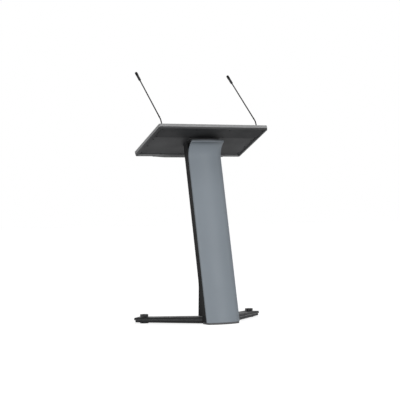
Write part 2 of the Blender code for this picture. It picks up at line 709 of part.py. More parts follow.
def build_spine():
    outline = fillet(rectangle(SPINE_WIDTH, SPINE_DEPTH, SPINE_Y - SPINE_DEPTH / 2),
                     SPINE_CORNER, 4)
    hole = fillet(rectangle(SPINE_WIDTH - 2 * SPINE_WALL, SPINE_DEPTH - 2 * SPINE_WALL,
                            SPINE_Y - SPINE_DEPTH / 2 + SPINE_WALL),
                  SPINE_CORNER - SPINE_WALL, 4)
    add_body("column_spine", column_prism(outline, hole), BLACK_STEEL, COLUMN,
             smooth=radians(30))
    front = SPINE_Y - SPINE_DEPTH / 2 - GAP
    steps = 10
    bowed = []
    for i in range(steps + 1):
        x = -TIE_WIDTH / 2 + TIE_WIDTH * i / steps
        bowed.append((x, -panel_arc(x) * cos(LEAN) + PANEL_SHEET + GAP))
    outline = bowed + [(TIE_WIDTH / 2, front), (-TIE_WIDTH / 2, front)]
    upper = FLARE_START - TIE_UNDER_FLARE
    for name, height in (("panel_tie_lower", TIE_LOW), ("panel_tie_upper", upper)):
        tie = prism(outline, height, height + TIE_THICK, EDGE_CHAMFER)
        add_body(name, tie, BLACK_STEEL, COLUMN)


# ---------------------------------------------------------------- desk
def desk_plan(margin=0.0):
    """The desk's plan, smaller all round by a margin."""
    corner = max(DESK_CORNER - margin, TRAY_WELL_CORNER)
    return fillet(rectangle(DESK_WIDTH - 2 * margin, DESK_DEPTH - 2 * margin, margin), corner, 6)


def build_desk():
    plan = desk_plan()
    board = desk_plan(BAND_THICK + GAP)
    body = add_body("desk_board", prism(board, -BOARD_THICK, 0.0, BOARD_CHAMFER), BOARD_GREY, DESK)
    inner = desk_plan(BAND_THICK)
    soft = desk_plan(EDGE_CHAMFER)
    band = loft([level_ring(inner, 0.0), level_ring(soft, 0.0),
                 level_ring(plan, -EDGE_CHAMFER), level_ring(plan, -BOARD_THICK + EDGE_CHAMFER),
                 level_ring(soft, -BOARD_THICK), level_ring(inner, -BOARD_THICK)], closed=True)
    add_body("desk_edge_band", band, BAND_GREY, DESK)

    rim = desk_plan(TRAY_INSET)
    soft_rim = desk_plan(TRAY_INSET + EDGE_CHAMFER)
    soft_well = desk_plan(TRAY_INSET + TRAY_RIM - EDGE_CHAMFER)
    well = desk_plan(TRAY_INSET + TRAY_RIM)
    tray = loft([level_ring(rim, TRAY_TOP), level_ring(rim, TRAY_BOTTOM + EDGE_CHAMFER),
                 level_ring(soft_rim, TRAY_BOTTOM), level_ring(soft_well, TRAY_BOTTOM),
                 level_ring(well, TRAY_BOTTOM + EDGE_CHAMFER), level_ring(well, FLOOR_UNDER)])
    tray_body = add_body("desk_tray", tray, BLACK_STEEL, DESK)

    margin = TRAY_INSET + TRAY_RIM + COVER_MARGIN
    pan = fillet(rectangle(DESK_WIDTH - 2 * margin, COVER_DEPTH, margin), COVER_CORNER, 4)
    pan_in = inset(pan, COVER_SHEET)
    top = FLOOR_UNDER - GAP
    low = FLOOR_UNDER - COVER_PAN
    cover = loft([level_ring(pan_in, low + COVER_SHEET), level_ring(pan_in, top),
                  level_ring(pan, top), level_ring(pan, low + EDGE_CHAMFER),
                  level_ring(inset(pan, EDGE_CHAMFER), low)])
    add_body("microphone_wiring_cover", cover, BLACK_STEEL, DESK)

    steps = 32
    stop = []
    for i in range(steps + 1):
        x = -STOP_WIDTH / 2 + STOP_WIDTH * i / steps
        share = min(1.0, (STOP_WIDTH / 2 - abs(x)) / STOP_TAPER)
        smooth = share * share * (3 - 2 * share)
        stop.append((x, DESK_DEPTH + GAP + STOP_MIN + (STOP_MAX - STOP_MIN) * smooth))
    stop = [(-STOP_WIDTH / 2, DESK_DEPTH + GAP), (STOP_WIDTH / 2, DESK_DEPTH + GAP)] + stop[::-1]
    add_body("paper_stop", prism(stop, TRAY_BOTTOM, STOP_RISE, STOP_CHAMFER), BOARD_GREY, DESK)

    plate = fillet(rectangle(PLATE_WIDTH, PLATE_LENGTH, DESK_SEAT - PLATE_LENGTH / 2),
                   PLATE_CORNER, 5)
    plate_body = add_body("desk_mounting_plate",
                          prism(plate, PLATE_UNDER, PLATE_TOP, EDGE_CHAMFER), BLACK_STEEL, DESK)
    for number, (sx, sy) in enumerate(((-1, -1), (1, -1), (1, 1), (-1, 1)), 1):
        place = (sx * PLATE_BOLT_X, DESK_SEAT + sy * PLATE_BOLT_Y, PLATE_UNDER - GAP)
        cut(plate_body, drill(f"desk_bolt_{number}_hole", BOLT_HOLE, 6 * PLATE_THICK, DESK,
                              place))
        bolt = bolt_body(PLATE_THICK)
        add_body(f"desk_bolt_{number}", bolt, RAW_STEEL, DESK, place, (pi, 0, 0),
                 radians(40))
    for side, sign in (("left", -1), ("right", 1)):
        hole = SOCKET_BARREL + SOCKET_CLEAR
        recess = SOCKET_FLANGE + SOCKET_CLEAR
        step = -SOCKET_FLANGE_HIGH - GAP
        stepped = turned([(hole, -2 * BOARD_THICK), (hole, step), (recess, step),
                          (recess, BOARD_THICK)], 32)
        place = (sign * MIC_X, MIC_Y, 0)
        cut(body, hidden_tool(f"{side}_board_socket_hole", stepped, DESK, place))
        cut(tray_body, drill(f"{side}_tray_socket_hole", hole, 4 * SOCKET_LENGTH, DESK, place))


# ---------------------------------------------------------------- microphones
def neck_point(distance):
    """Centre line of a neck in its socket's frame: a point, and how far the line leans there."""
    if distance <= BEND_START:
        return Vector((0, 0, distance)), 0.0
    angle = min(distance - BEND_START, BEND_LENGTH) / NECK_BEND_RADIUS
    rest = max(distance - BEND_START - BEND_LENGTH, 0.0)
    return Vector((0, NECK_BEND_RADIUS * (1 - cos(angle)) + rest * sin(angle),
                   BEND_START + NECK_BEND_RADIUS * sin(angle) + rest * cos(angle))), angle


def neck_tube(start, end, radius, origin, ball=False, count=14):
    """Tube along the neck between two distances; a ball end is centred on the far one."""
    steps = max(2, int((end - start) / 0.006))
    profile = [(start + (end - start) * i / steps, radius) for i in range(steps + 1)]
    if ball:
        last = radians(84)
        profile += [(end + radius * sin(last * k / 5), radius * cos(last * k / 5))
                    for k in range(1, 6)]
    rings = []
    for distance, size in profile:
        centre, angle = neck_point(min(distance, end))
        along = Vector((0, sin(angle), cos(angle)))
        across = Vector((0, cos(angle), -sin(angle)))
        centre = centre + along * max(distance - end, 0.0) - origin
        ring = []
        for x, y in circle(size, count):
            ring.append(centre + Vector((x, 0, 0)) + across * y)
        rings.append(ring)
    return loft(rings)


def place_on_neck(distance, origin):
    """Location and rotation of a turned piece that stands on the neck's line."""
    centre, angle = neck_point(distance)
    return centre - origin, (-angle, 0, 0)


def build_microphone(side, sign):
    socket = add_empty(f"{side}_socket_frame", DESK, (sign * MIC_X, MIC_Y, 0))
    bore = PLUG_RADIUS + SOCKET_CLEAR
    flange = turned([(bore, 0.0), (bore, -SOCKET_LENGTH), (SOCKET_BARREL, -SOCKET_LENGTH),
                     (SOCKET_BARREL, -SOCKET_FLANGE_HIGH), (SOCKET_FLANGE, -SOCKET_FLANGE_HIGH),
                     (SOCKET_FLANGE, -EDGE_CHAMFER), (SOCKET_FLANGE - EDGE_CHAMFER, 0.0)],
                    32, closed=True)
    add_body(f"{side}_microphone_socket", flange, BLACK_PLASTIC, socket, smooth=radians(35))

    nut_top = FLOOR_UNDER - GAP
    corner = NUT_FLATS / 2 / cos(pi / 6)
    hexagon = circle(corner, 6)
    outline = []
    for i in range(6):
        ax, ay = hexagon[i]
        bx, by = hexagon[(i + 1) % 6]
        for k in range(4):
            outline.append((ax + (bx - ax) * k / 4, ay + (by - ay) * k / 4))
    hole = circle(SOCKET_BARREL + SOCKET_CLEAR, len(outline))
    nut = loft([level_ring(hole, nut_top), level_ring(outline, nut_top),
                level_ring(outline, nut_top - NUT_HIGH), level_ring(hole, nut_top - NUT_HIGH)],
               closed=True)
    add_body(f"{side}_socket_nut", nut, RAW_STEEL, socket)

    nose = FERRULE_HIGH + FERRULE_NOSE
    ferrule = turned([(PLUG_RADIUS - 0.0006, -PLUG_DEPTH), (PLUG_RADIUS, -PLUG_DEPTH + 0.001),
                      (PLUG_RADIUS, GAP), (FERRULE_RADIUS, GAP), (FERRULE_RADIUS, FERRULE_HIGH),
                      (NECK_RADIUS + FERRULE_NOSE_SKIN, nose)], 28)
    add_body(f"{side}_microphone_base", ferrule, MIC_BLACK, socket, smooth=radians(30))

    root = Vector((0, 0, 0))
    sideways = neck_point(SIDE_AT)[0]
    leaning = neck_point(LEAN_AT)[0]
    side_pivot = add_empty(f"{side}_neck_side_pivot", socket, sideways)
    lean_pivot = add_empty(f"{side}_neck_lean_pivot", side_pivot, leaning - sideways)
    skin = NECK_RADIUS + PIVOT_SKIN
    lower = neck_tube(nose + GAP, SIDE_AT, NECK_RADIUS, root, ball=True)
    add_body(f"{side}_neck_lower", lower, MIC_BLACK, socket, smooth=radians(30))
    middle = neck_tube(SIDE_AT + skin, LEAN_AT, NECK_RADIUS, sideways, ball=True)
    add_body(f"{side}_neck_middle", middle, MIC_BLACK, side_pivot, smooth=radians(30))
    upper = neck_tube(LEAN_AT + skin, COLLAR_AT, NECK_RADIUS, leaning)
    add_body(f"{side}_neck_upper", upper, MIC_BLACK, lean_pivot, smooth=radians(30))

    stem_at = COLLAR_AT + GAP
    tip = (NECK_BEND_HEIGHT + MIC_REACH + BEND_LENGTH
           - 2 * NECK_BEND_RADIUS * tan(MIC_BEND_TURN / 2))
    stem_length = tip - stem_at - CAPSULE_LENGTH - SCREEN_LENGTH - 2 * GAP
    soft = EDGE_CHAMFER / 2
    stem = turned([(COLLAR_RADIUS - soft, 0.0), (COLLAR_RADIUS, soft),
                   (COLLAR_RADIUS, COLLAR_LENGTH - soft), (STEM_RADIUS, COLLAR_LENGTH + 0.001),
                   (STEM_RADIUS, stem_length)], 20)
    add_body(f"{side}_microphone_stem", stem, MIC_BLACK, lean_pivot,
             *place_on_neck(stem_at, leaning), radians(30))

    capsule_at = stem_at + stem_length + GAP
    capsule = turned([(STEM_RADIUS + 0.0008, 0.0), (CAPSULE_RADIUS, CAPSULE_TAPER),
                      (CAPSULE_RADIUS, CAPSULE_LENGTH - 0.0006),
                      (CAPSULE_RADIUS - 0.0006, CAPSULE_LENGTH)], 28)
    add_body(f"{side}_microphone_capsule", capsule, MIC_BLACK, lean_pivot,
             *place_on_neck(capsule_at, leaning), radians(30))

    straight = SCREEN_LENGTH - SCREEN_RADIUS
    profile = [(SCREEN_RADIUS - 0.0012, 0.0), (SCREEN_RADIUS, 0.0015), (SCREEN_RADIUS, straight)]
    screen = turned(profile + dome(SCREEN_RADIUS, straight, 1, 6), 28)
    add_body(f"{side}_microphone_windscreen", screen, FOAM_BLACK, lean_pivot,
             *place_on_neck(capsule_at + CAPSULE_LENGTH + GAP, leaning), radians(40))


# ---------------------------------------------------------------- assembly
build_base()
build_front_panel()
build_spine()
build_rear_shell()
build_desk()
for SIDE, SIGN in (("left", -1), ("right", 1)):
    build_leg(SIDE, SIGN)
    build_foot(SIDE, SIGN)
    build_microphone(SIDE, SIGN)
bpy.context.view_layer.update()
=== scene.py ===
"""Looks of the presentation lectern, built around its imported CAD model.

Everything is in metres in the model's own frame: +Z up, -Y the audience's side, +Y the
speaker's. Three working frames are used: "foot", whose origin is on the floor under the middle
of the front panel's lower edges; "desk", in the middle of the desk's upper edge, with Y down
the slope and Z square to it; and each microphone's "socket" frame, parallel to the desk's.
"""

import json
from math import asin, atan2, cos, hypot, pi, radians, sin, tan

import bmesh
import bpy
from mathutils import Matrix, Vector, noise


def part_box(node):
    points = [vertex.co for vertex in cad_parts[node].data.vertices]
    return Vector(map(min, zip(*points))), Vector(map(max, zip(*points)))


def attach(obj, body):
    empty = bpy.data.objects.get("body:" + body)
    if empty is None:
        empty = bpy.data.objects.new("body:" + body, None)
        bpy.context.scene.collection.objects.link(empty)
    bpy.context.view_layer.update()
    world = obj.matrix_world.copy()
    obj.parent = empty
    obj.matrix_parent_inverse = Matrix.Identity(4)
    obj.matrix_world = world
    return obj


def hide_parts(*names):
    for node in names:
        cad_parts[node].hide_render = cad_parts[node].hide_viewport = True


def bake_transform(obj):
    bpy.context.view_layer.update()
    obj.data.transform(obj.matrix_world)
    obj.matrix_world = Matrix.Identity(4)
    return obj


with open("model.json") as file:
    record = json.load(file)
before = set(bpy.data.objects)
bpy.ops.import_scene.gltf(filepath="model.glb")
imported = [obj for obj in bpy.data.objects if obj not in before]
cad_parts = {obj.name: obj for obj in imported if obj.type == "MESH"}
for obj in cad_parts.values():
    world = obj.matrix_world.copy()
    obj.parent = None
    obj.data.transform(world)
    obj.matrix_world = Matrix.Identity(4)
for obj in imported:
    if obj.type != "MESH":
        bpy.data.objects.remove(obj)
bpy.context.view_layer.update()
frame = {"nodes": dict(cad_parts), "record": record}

# -------- sizes of the lectern
GAP = 0.0003

PANEL_HALF = 0.106
PANEL_BOW = 0.028
PANEL_SHEET = 0.0025
PANEL_RETURN = 0.0060
PANEL_ROUND = 0.0045
FLARE_RADIUS = 0.090
FLARE_TURN = radians(70.0)
HEM_RADIUS = 0.0040
HEM_RISE = 0.0090
HEM_DEPTH = PANEL_SHEET + 0.0012    # of the side returns, where they have faded out
HEM_ROUND = 0.0030
PANEL_EDGE = 0.0006
LEAN = radians(12.0)

SHELL_SHEET = 0.0020
SHELL_DEPTH = 0.0665
SHELL_LAP = 0.0048
SHELL_CORNER = 0.0080
SHELL_FOOT_Y = 0.1280
SHELL_KNEE_SLOPE = 0.066
SHELL_KNEE_TOP = 0.40           # the shell is straight from here up
KNEE_BLEND = 0.0030
OUTLET_RADIUS = 0.0100
COLUMN_TOP_DEPTH = 0.0259       # of the column's top under the desk's surface

BASE_LIP = 0.0030
BASE_HALF = 0.101
BASE_CORNER = 0.018
UPSTAND_THICK = 0.006

LEG_TIP_X = 0.416
LEG_TIP_Y = 0.3375
LEG_SPLAY = radians(49.0)
LEG_WIDTH = 0.095
LEG_ROOT_Y = 0.0660
LEG_SLOPE_LENGTH = 0.600
LEG_BOTTOM = (0.0075, 0.0020)   # at the tip, and LEG_SLOPE_LENGTH from it
LEG_TOP = (0.0340, 0.0440)
LEG_LEDGE = 0.0030
LEG_TIP_LEDGE = 0.0060
LEG_BEAD = 0.0012
LEG_BEAD_HIGH = 0.0026
LEG_WALL = 0.0040
LEG_ROUND = 0.0030

SCREW_RADIUS = 0.0050
SCREW_PITCH = 0.0015
SCREW_CLEAR = 0.0003
SCREW_BORE = SCREW_RADIUS + SCREW_CLEAR
BUSH_RADIUS = 0.0120
PAD_SEAT = 0.0050
KNOB_RADIUS = 0.0250
KNOB_POINTS = 200
KNOB_LOBES = 5
KNOB_DIP = 0.0035

DESK_CORNER = 0.010
BOARD_THICK = 0.0175
BAND_THICK = 0.0020
TRAY_INSET = 0.0020
TRAY_RIM = 0.0110
TRAY_WELL_CORNER = 0.0030
TRAY_DEPTH = 0.0100
TRAY_FLOOR = 0.0025
COVER_DEPTH = 0.115
COVER_MARGIN = 0.004
COVER_PAN = 0.0052
COVER_AT = TRAY_INSET + TRAY_RIM + COVER_MARGIN
STOP_WIDTH = 0.470
STOP_TAPER = 0.095
STOP_MIN = 0.003
STOP_MAX = 0.0135
STOP_RISE = 0.016

MIC_X = 0.309
MIC_Y = 0.0555
SOCKET_FLANGE = 0.0120
SOCKET_FLANGE_HIGH = 0.0026
SOCKET_BARREL = 0.0070
SOCKET_HOLE = SOCKET_BARREL + 0.0003
SOCKET_LENGTH = 0.0236
PLUG_RADIUS = 0.0040
FERRULE_RADIUS = 0.0060
FERRULE_HIGH = 0.0200
FERRULE_NOSE = 0.0050
NECK_RADIUS = 0.0037
NECK_BEND_HEIGHT = 0.051
NECK_BEND_RADIUS = 0.060
MIC_LEAN = radians(48.8)
MIC_REACH = 0.4745
PIVOT_SIDE = 0.004
PIVOT_LEAN = 0.024
COLLAR_RADIUS = 0.0045
COLLAR_LENGTH = 0.012
STEM_RADIUS = 0.0038
CAPSULE_RADIUS = 0.0074
CAPSULE_LENGTH = 0.052
CAPSULE_TAPER = 0.0070
SCREEN_RADIUS = 0.0082
SCREEN_LENGTH = 0.033

# -------- places taken from the frame
MOUNTS = {mount["name"]: mount for mount in frame["record"]["mounts"]}
DESK_NORMAL = Vector(MOUNTS["desk_surface"]["axis"])
DESK_TILT = asin(DESK_NORMAL.y)
DOWN_SLOPE = Vector((0, cos(DESK_TILT), -sin(DESK_TILT)))
BAND_LOW, BAND_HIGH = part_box("desk_edge_band")
DESK_WIDTH = BAND_HIGH.x - BAND_LOW.x
DESK_DEPTH = (BAND_HIGH.y - BAND_LOW.y - BOARD_THICK * sin(DESK_TILT)) / cos(DESK_TILT)
DESK_ORIGIN = Vector(MOUNTS["desk_surface"]["pos_m"]) - DOWN_SLOPE * DESK_DEPTH / 2
FOOT = Vector((0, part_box("base_plate")[0].y + PANEL_BOW + BASE_LIP, 0))
PANEL_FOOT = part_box("front_panel")[0].z
PANEL_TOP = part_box("front_panel")[1].z
FLARE_START = PANEL_TOP - (FLARE_RADIUS * (sin(LEAN) + sin(FLARE_TURN - LEAN))
                           + HEM_RADIUS * sin(FLARE_TURN - LEAN) + HEM_RISE)
PLATE_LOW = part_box("base_sole")[1].z + GAP
BASE_TOP = PANEL_FOOT - 0.0005

shift = Matrix.Translation
TO_FOOT = shift(FOOT)
TO_DESK = shift(DESK_ORIGIN) @ Matrix.Rotation(-DESK_TILT, 4, "X")
TRAY_TOP = -(BOARD_THICK + GAP)
TRAY_BOTTOM = TRAY_TOP - TRAY_DEPTH
FLOOR_UNDER = TRAY_TOP - TRAY_FLOOR
COVER_FACE = FLOOR_UNDER - COVER_PAN
BEND_TURN = MIC_LEAN - DESK_TILT
BEND_START = NECK_BEND_HEIGHT - NECK_BEND_RADIUS * tan(BEND_TURN / 2)
BEND_LENGTH = NECK_BEND_RADIUS * BEND_TURN
COLLAR_AT = BEND_START + BEND_LENGTH + 0.010
NECK_TIP = NECK_BEND_HEIGHT + MIC_REACH + BEND_LENGTH - 2 * NECK_BEND_RADIUS * tan(BEND_TURN / 2)
STEM_LENGTH = NECK_TIP - COLLAR_AT - CAPSULE_LENGTH - SCREEN_LENGTH - 3 * GAP


# -------- outlines
def fillet(outline, radius, steps=8):
    """Round the corners of an anticlockwise outline; radius is one value, or one per corner."""
    count = len(outline)
    radii = radius if isinstance(radius, (list, tuple)) else [radius] * count
    points = []
    for i in range(count):
        corner = Vector(outline[i])
        if radii[i] <= 0:
            points.append(tuple(corner))
            continue
        before = (Vector(outline[i - 1]) - corner).normalized()
        after = (Vector(outline[(i + 1) % count]) - corner).normalized()
        half = before.angle(after) / 2
        centre = corner + (before + after).normalized() * radii[i] / sin(half)
        start = corner + before * radii[i] / tan(half) - centre
        end = corner + after * radii[i] / tan(half) - centre
        first = atan2(start.y, start.x)
        turn = (atan2(end.y, end.x) - first + pi) % (2 * pi) - pi
        for angle in evenly(first, first + turn, steps):
            points.append((centre.x + radii[i] * cos(angle), centre.y + radii[i] * sin(angle)))
    return points


def inset(outline, distance):
    """Move every side of an anticlockwise outline inward."""
    count = len(outline)
    sides = []
    for i in range(count):
        ax, ay = outline[i]
        bx, by = outline[(i + 1) % count]
        length = hypot(bx - ax, by - ay)
        nx, ny = -(by - ay) / length, (bx - ax) / length
        sides.append((nx, ny, nx * ax + ny * ay + distance))
    points = []
    for i in range(count):
        a1, b1, c1 = sides[i - 1]
        a2, b2, c2 = sides[i]
        det = a1 * b2 - a2 * b1
        if abs(det) < 1e-9:
            points.append((outline[i][0] + a2 * distance, outline[i][1] + b2 * distance))
        else:
            points.append(((c1 * b2 - c2 * b1) / det, (a1 * c2 - a2 * c1) / det))
    return points


def rectangle(width, depth, y0=0.0):
    half = width / 2
    return [(-half, y0), (half, y0), (half, y0 + depth), (-half, y0 + depth)]


def radial(count, size):
    """Outline of count points round the origin; point i is size(i) away from it."""
    angles = [2 * pi * i / count for i in range(count)]
    return [(size(i) * cos(angle), size(i) * sin(angle)) for i, angle in enumerate(angles)]


def circle(radius, count):
    return radial(count, lambda i: radius)


def hexagon(flats, count):
    """Hexagon across flats, as count points spread along its sides."""
    def size(i):
        return flats / 2 / cos((2 * pi * i / count + pi / 6) % (pi / 3) - pi / 6)

    return radial(count, size)


def level(outline, z):
    return [Vector((x, y, z)) for x, y in outline]


def evenly(start, end, steps):
    """Both ends and the even steps between them."""
    return [start + (end - start) * k / steps for k in range(steps + 1)]


def quarter(steps):
    """(1 - cos, 1 - sin) at even steps of a quarter turn, for rounded edges."""
    return [(1 - cos(angle), 1 - sin(angle)) for angle in evenly(0.0, pi / 2, steps)]


def rounded_stack(outline, low, high, radius, steps=3):
    """Rings of an upright prism whose two rims are rounded."""
    bottom = [level(inset(outline, radius * side), low + radius * rise)
              for rise, side in quarter(steps)]
    return bottom + [level(inset(outline, radius * side), high - radius * rise)
                     for side, rise in quarter(steps)]


# -------- meshes and pieces
def loft(rings, closed=False):
    """Skin a stack of rings with equal counts; cap both ends, or join the last to the first."""
    bm = bmesh.new()
    rows = [[bm.verts.new(point) for point in ring] for ring in rings]
    count = len(rows[0])
    pairs = list(zip(rows, rows[1:]))
    if closed:
        pairs.append((rows[-1], rows[0]))
    for low, high in pairs:
        for i in range(count):
            j = (i + 1) % count
            bm.faces.new((low[i], low[j], high[j], high[i]))
    if not closed:
        bm.faces.new(rows[0])
        bm.faces.new(rows[-1])
    return bm


def circles(profile, count, period=1, width=0):
    """Level rings from (radius, z) rows; a third number in a row is the depth of its notches.

    The first width points of each period lie in a notch.
    """
    rings = []
    for radius, z, *notch in profile:
        depth = notch[0] if notch else 0.0
        rings.append(level(radial(count, lambda i: radius - depth * (i % period < width)), z))
    return rings


def turned(profile, count=64, closed=False):
    """Solid of revolution about Z from (radius, z) pairs."""
    return loft(circles(profile, count), closed)


def join(*parts):
    """Put several bmeshes into the first."""
    first = parts[0]
    for other in parts[1:]:
        mesh = bpy.data.meshes.new("joined")
        other.to_mesh(mesh)
        other.free()
        first.from_mesh(mesh)
        bpy.data.meshes.remove(mesh)
    return first


def moved(bm, matrix):
    bmesh.ops.transform(bm, matrix=matrix, verts=bm.verts)
    return bm


def new_object(name, data):
    """Link a new object that shows some data, or the mesh of a bmesh."""
    if isinstance(data, bmesh.types.BMesh):
        mesh = bpy.data.meshes.new(name)
        data.to_mesh(mesh)
        data.free()
        data = mesh
    made = bpy.data.objects.new(name, data)
    bpy.context.scene.collection.objects.link(made)
    return made


def piece(name, bm, place, look, body="stand", nodes=(), sharp=30, rides=True):
    """Turn a bmesh into one named piece, in the model's frame, riding on a CAD body."""
    moved(bm, place)
    bmesh.ops.recalc_face_normals(bm, faces=bm.faces)
    made = new_object(name, bm)
    made.data.shade_smooth()
    made.data.set_sharp_from_angle(angle=radians(sharp))
    made.data.materials.append(FINISH[look])
    # The large faces of a smooth-shaded piece set the normals, so that they stay flat.
    weighted = made.modifiers.new("weighted", "WEIGHTED_NORMAL")
    weighted.weight = 100
    weighted.keep_sharp = True
    if rides:
        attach(made, body)
    if nodes:
        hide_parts(*nodes)
    return made


def stand_in(node, suffix, bm, place, look, body="stand", sharp=30):
    """A piece in the place of one CAD node, named after it."""
    return piece(f"{node}_{suffix}", bm, place, look, body, [node], sharp)


def cut_away(made, bm):
    """Subtract a bmesh from a piece for good."""
    bmesh.ops.recalc_face_normals(bm, faces=bm.faces)
    cutter = new_object("cutter", bm)
    weighted = made.modifiers["weighted"]
    weighted.show_viewport = False
    modifier = made.modifiers.new("cut", "BOOLEAN")
    modifier.operation = "DIFFERENCE"
    modifier.solver = "EXACT"
    modifier.object = cutter
    bpy.context.view_layer.update()
    depsgraph = bpy.context.evaluated_depsgraph_get()
    result = bpy.data.meshes.new_from_object(made.evaluated_get(depsgraph))
    made.modifiers.remove(modifier)
    weighted.show_viewport = True
    old = made.data
    made.data = result
    result.name = old.name
    bpy.data.meshes.remove(old)
    bpy.data.objects.remove(cutter, do_unlink=True)
    result.shade_smooth()
    result.set_sharp_from_angle(angle=radians(30))


# -------- materials
def wire(source, output, target, socket):
    source.id_data.links.new(source.outputs[output], target.inputs[socket])


def set_inputs(node, values):
    for name, value in values.items():
        node.inputs[name].default_value = value


def new_material(name, inputs):
    """New material with some of its shader's inputs set."""
    material = bpy.data.materials.new(name)
    material.use_nodes = True
    shader = material.node_tree.nodes["Principled BSDF"]
    set_inputs(shader, inputs)
    return material, material.node_tree, shader


def add_noise(coordinates, scale, detail=3.0, roughness=0.5):
    """Noise in the piece's own space."""
    texture = coordinates.id_data.nodes.new("ShaderNodeTexNoise")
    set_inputs(texture, {"Scale": scale, "Detail": detail, "Roughness": roughness})
    wire(coordinates, "Object", texture, "Vector")
    return texture


def spread(source, low, high, start=0.3, end=0.7, output="Fac"):
    """Map the middle of a texture's range to low..high."""
    mapped = source.id_data.nodes.new("ShaderNodeMapRange")
    set_inputs(mapped, {"From Min": start, "From Max": end, "To Min": low, "To Max": high})
    wire(source, output, mapped, "Value")
    return mapped


def add_mix(tree, blend):
    """Colour mix of A and B at full strength."""
    mix = tree.nodes.new("ShaderNodeMix")
    mix.data_type = "RGBA"
    mix.blend_type = blend
    mix.inputs["Factor"].default_value = 1.0
    return mix


def finish(name, colour, roughness, mottle, rough, grain, fine, wear=0.0, specular=0.5,
           metallic=0.0):
    """A surface finish: colour that drifts a little, uneven gloss, two grains, and wear on sharp
    edges.

    mottle is (scale, share of the colour), rough (scale, amount), grain and fine (scale,
    height in mm), and wear the share of lighter colour on sharp edges.
    """
    material, tree, shader = new_material(name, {"Metallic": metallic,
                                                 "Specular IOR Level": specular})
    coordinates = tree.nodes.new("ShaderNodeTexCoord")

    drift = spread(add_noise(coordinates, mottle[0], 4.0, 0.6), 1 - mottle[1], 1 + mottle[1])
    tint = add_mix(tree, "MULTIPLY")
    tint.inputs["A"].default_value = (*colour, 1.0)
    wire(drift, "Result", tint, "B")
    last = tint
    if wear:
        geometry = tree.nodes.new("ShaderNodeNewGeometry")
        edge = spread(geometry, 0.0, wear, 0.52, 0.62, "Pointiness")
        last = add_mix(tree, "MIX")
        last.inputs["B"].default_value = (*[min(1.0, 0.12 + 1.6 * c) for c in colour], 1.0)
        wire(edge, "Result", last, "Factor")
        wire(tint, "Result", last, "A")
    wire(last, "Result", shader, "Base Color")

    gloss = spread(add_noise(coordinates, rough[0]), roughness - rough[1],
                   roughness + rough[1])
    wire(gloss, "Result", shader, "Roughness")

    normal = None
    for scale, height in (grain, fine):
        bump = tree.nodes.new("ShaderNodeBump")
        set_inputs(bump, {"Strength": 1.0, "Distance": height / 1000})
        wire(add_noise(coordinates, scale, 2.0), "Fac", bump, "Height")
        if normal is not None:
            wire(normal, "Normal", bump, "Normal")
        normal = bump
    wire(normal, "Normal", shader, "Normal")
    return material


def shade(material, kind, axis, shares, span):
    """Scale a finish's colour between two shares over a span of one axis, to paint shade or light
    into it.

    kind is Object, for the place on the piece, or Normal, for the way the surface faces.
    """
    tree = material.node_tree
    base = tree.nodes["Principled BSDF"].inputs["Base Color"]
    colour = base.links[0].from_socket
    split = tree.nodes.new("ShaderNodeSeparateXYZ")
    wire(tree.nodes.new("ShaderNodeTexCoord"), kind, split, "Vector")
    shaded = add_mix(tree, "MULTIPLY")
    wire(spread(split, *shares, *span, axis), "Result", shaded, "B")
    tree.links.new(colour, shaded.inputs["A"])
    tree.links.new(shaded.outputs["Result"], base)


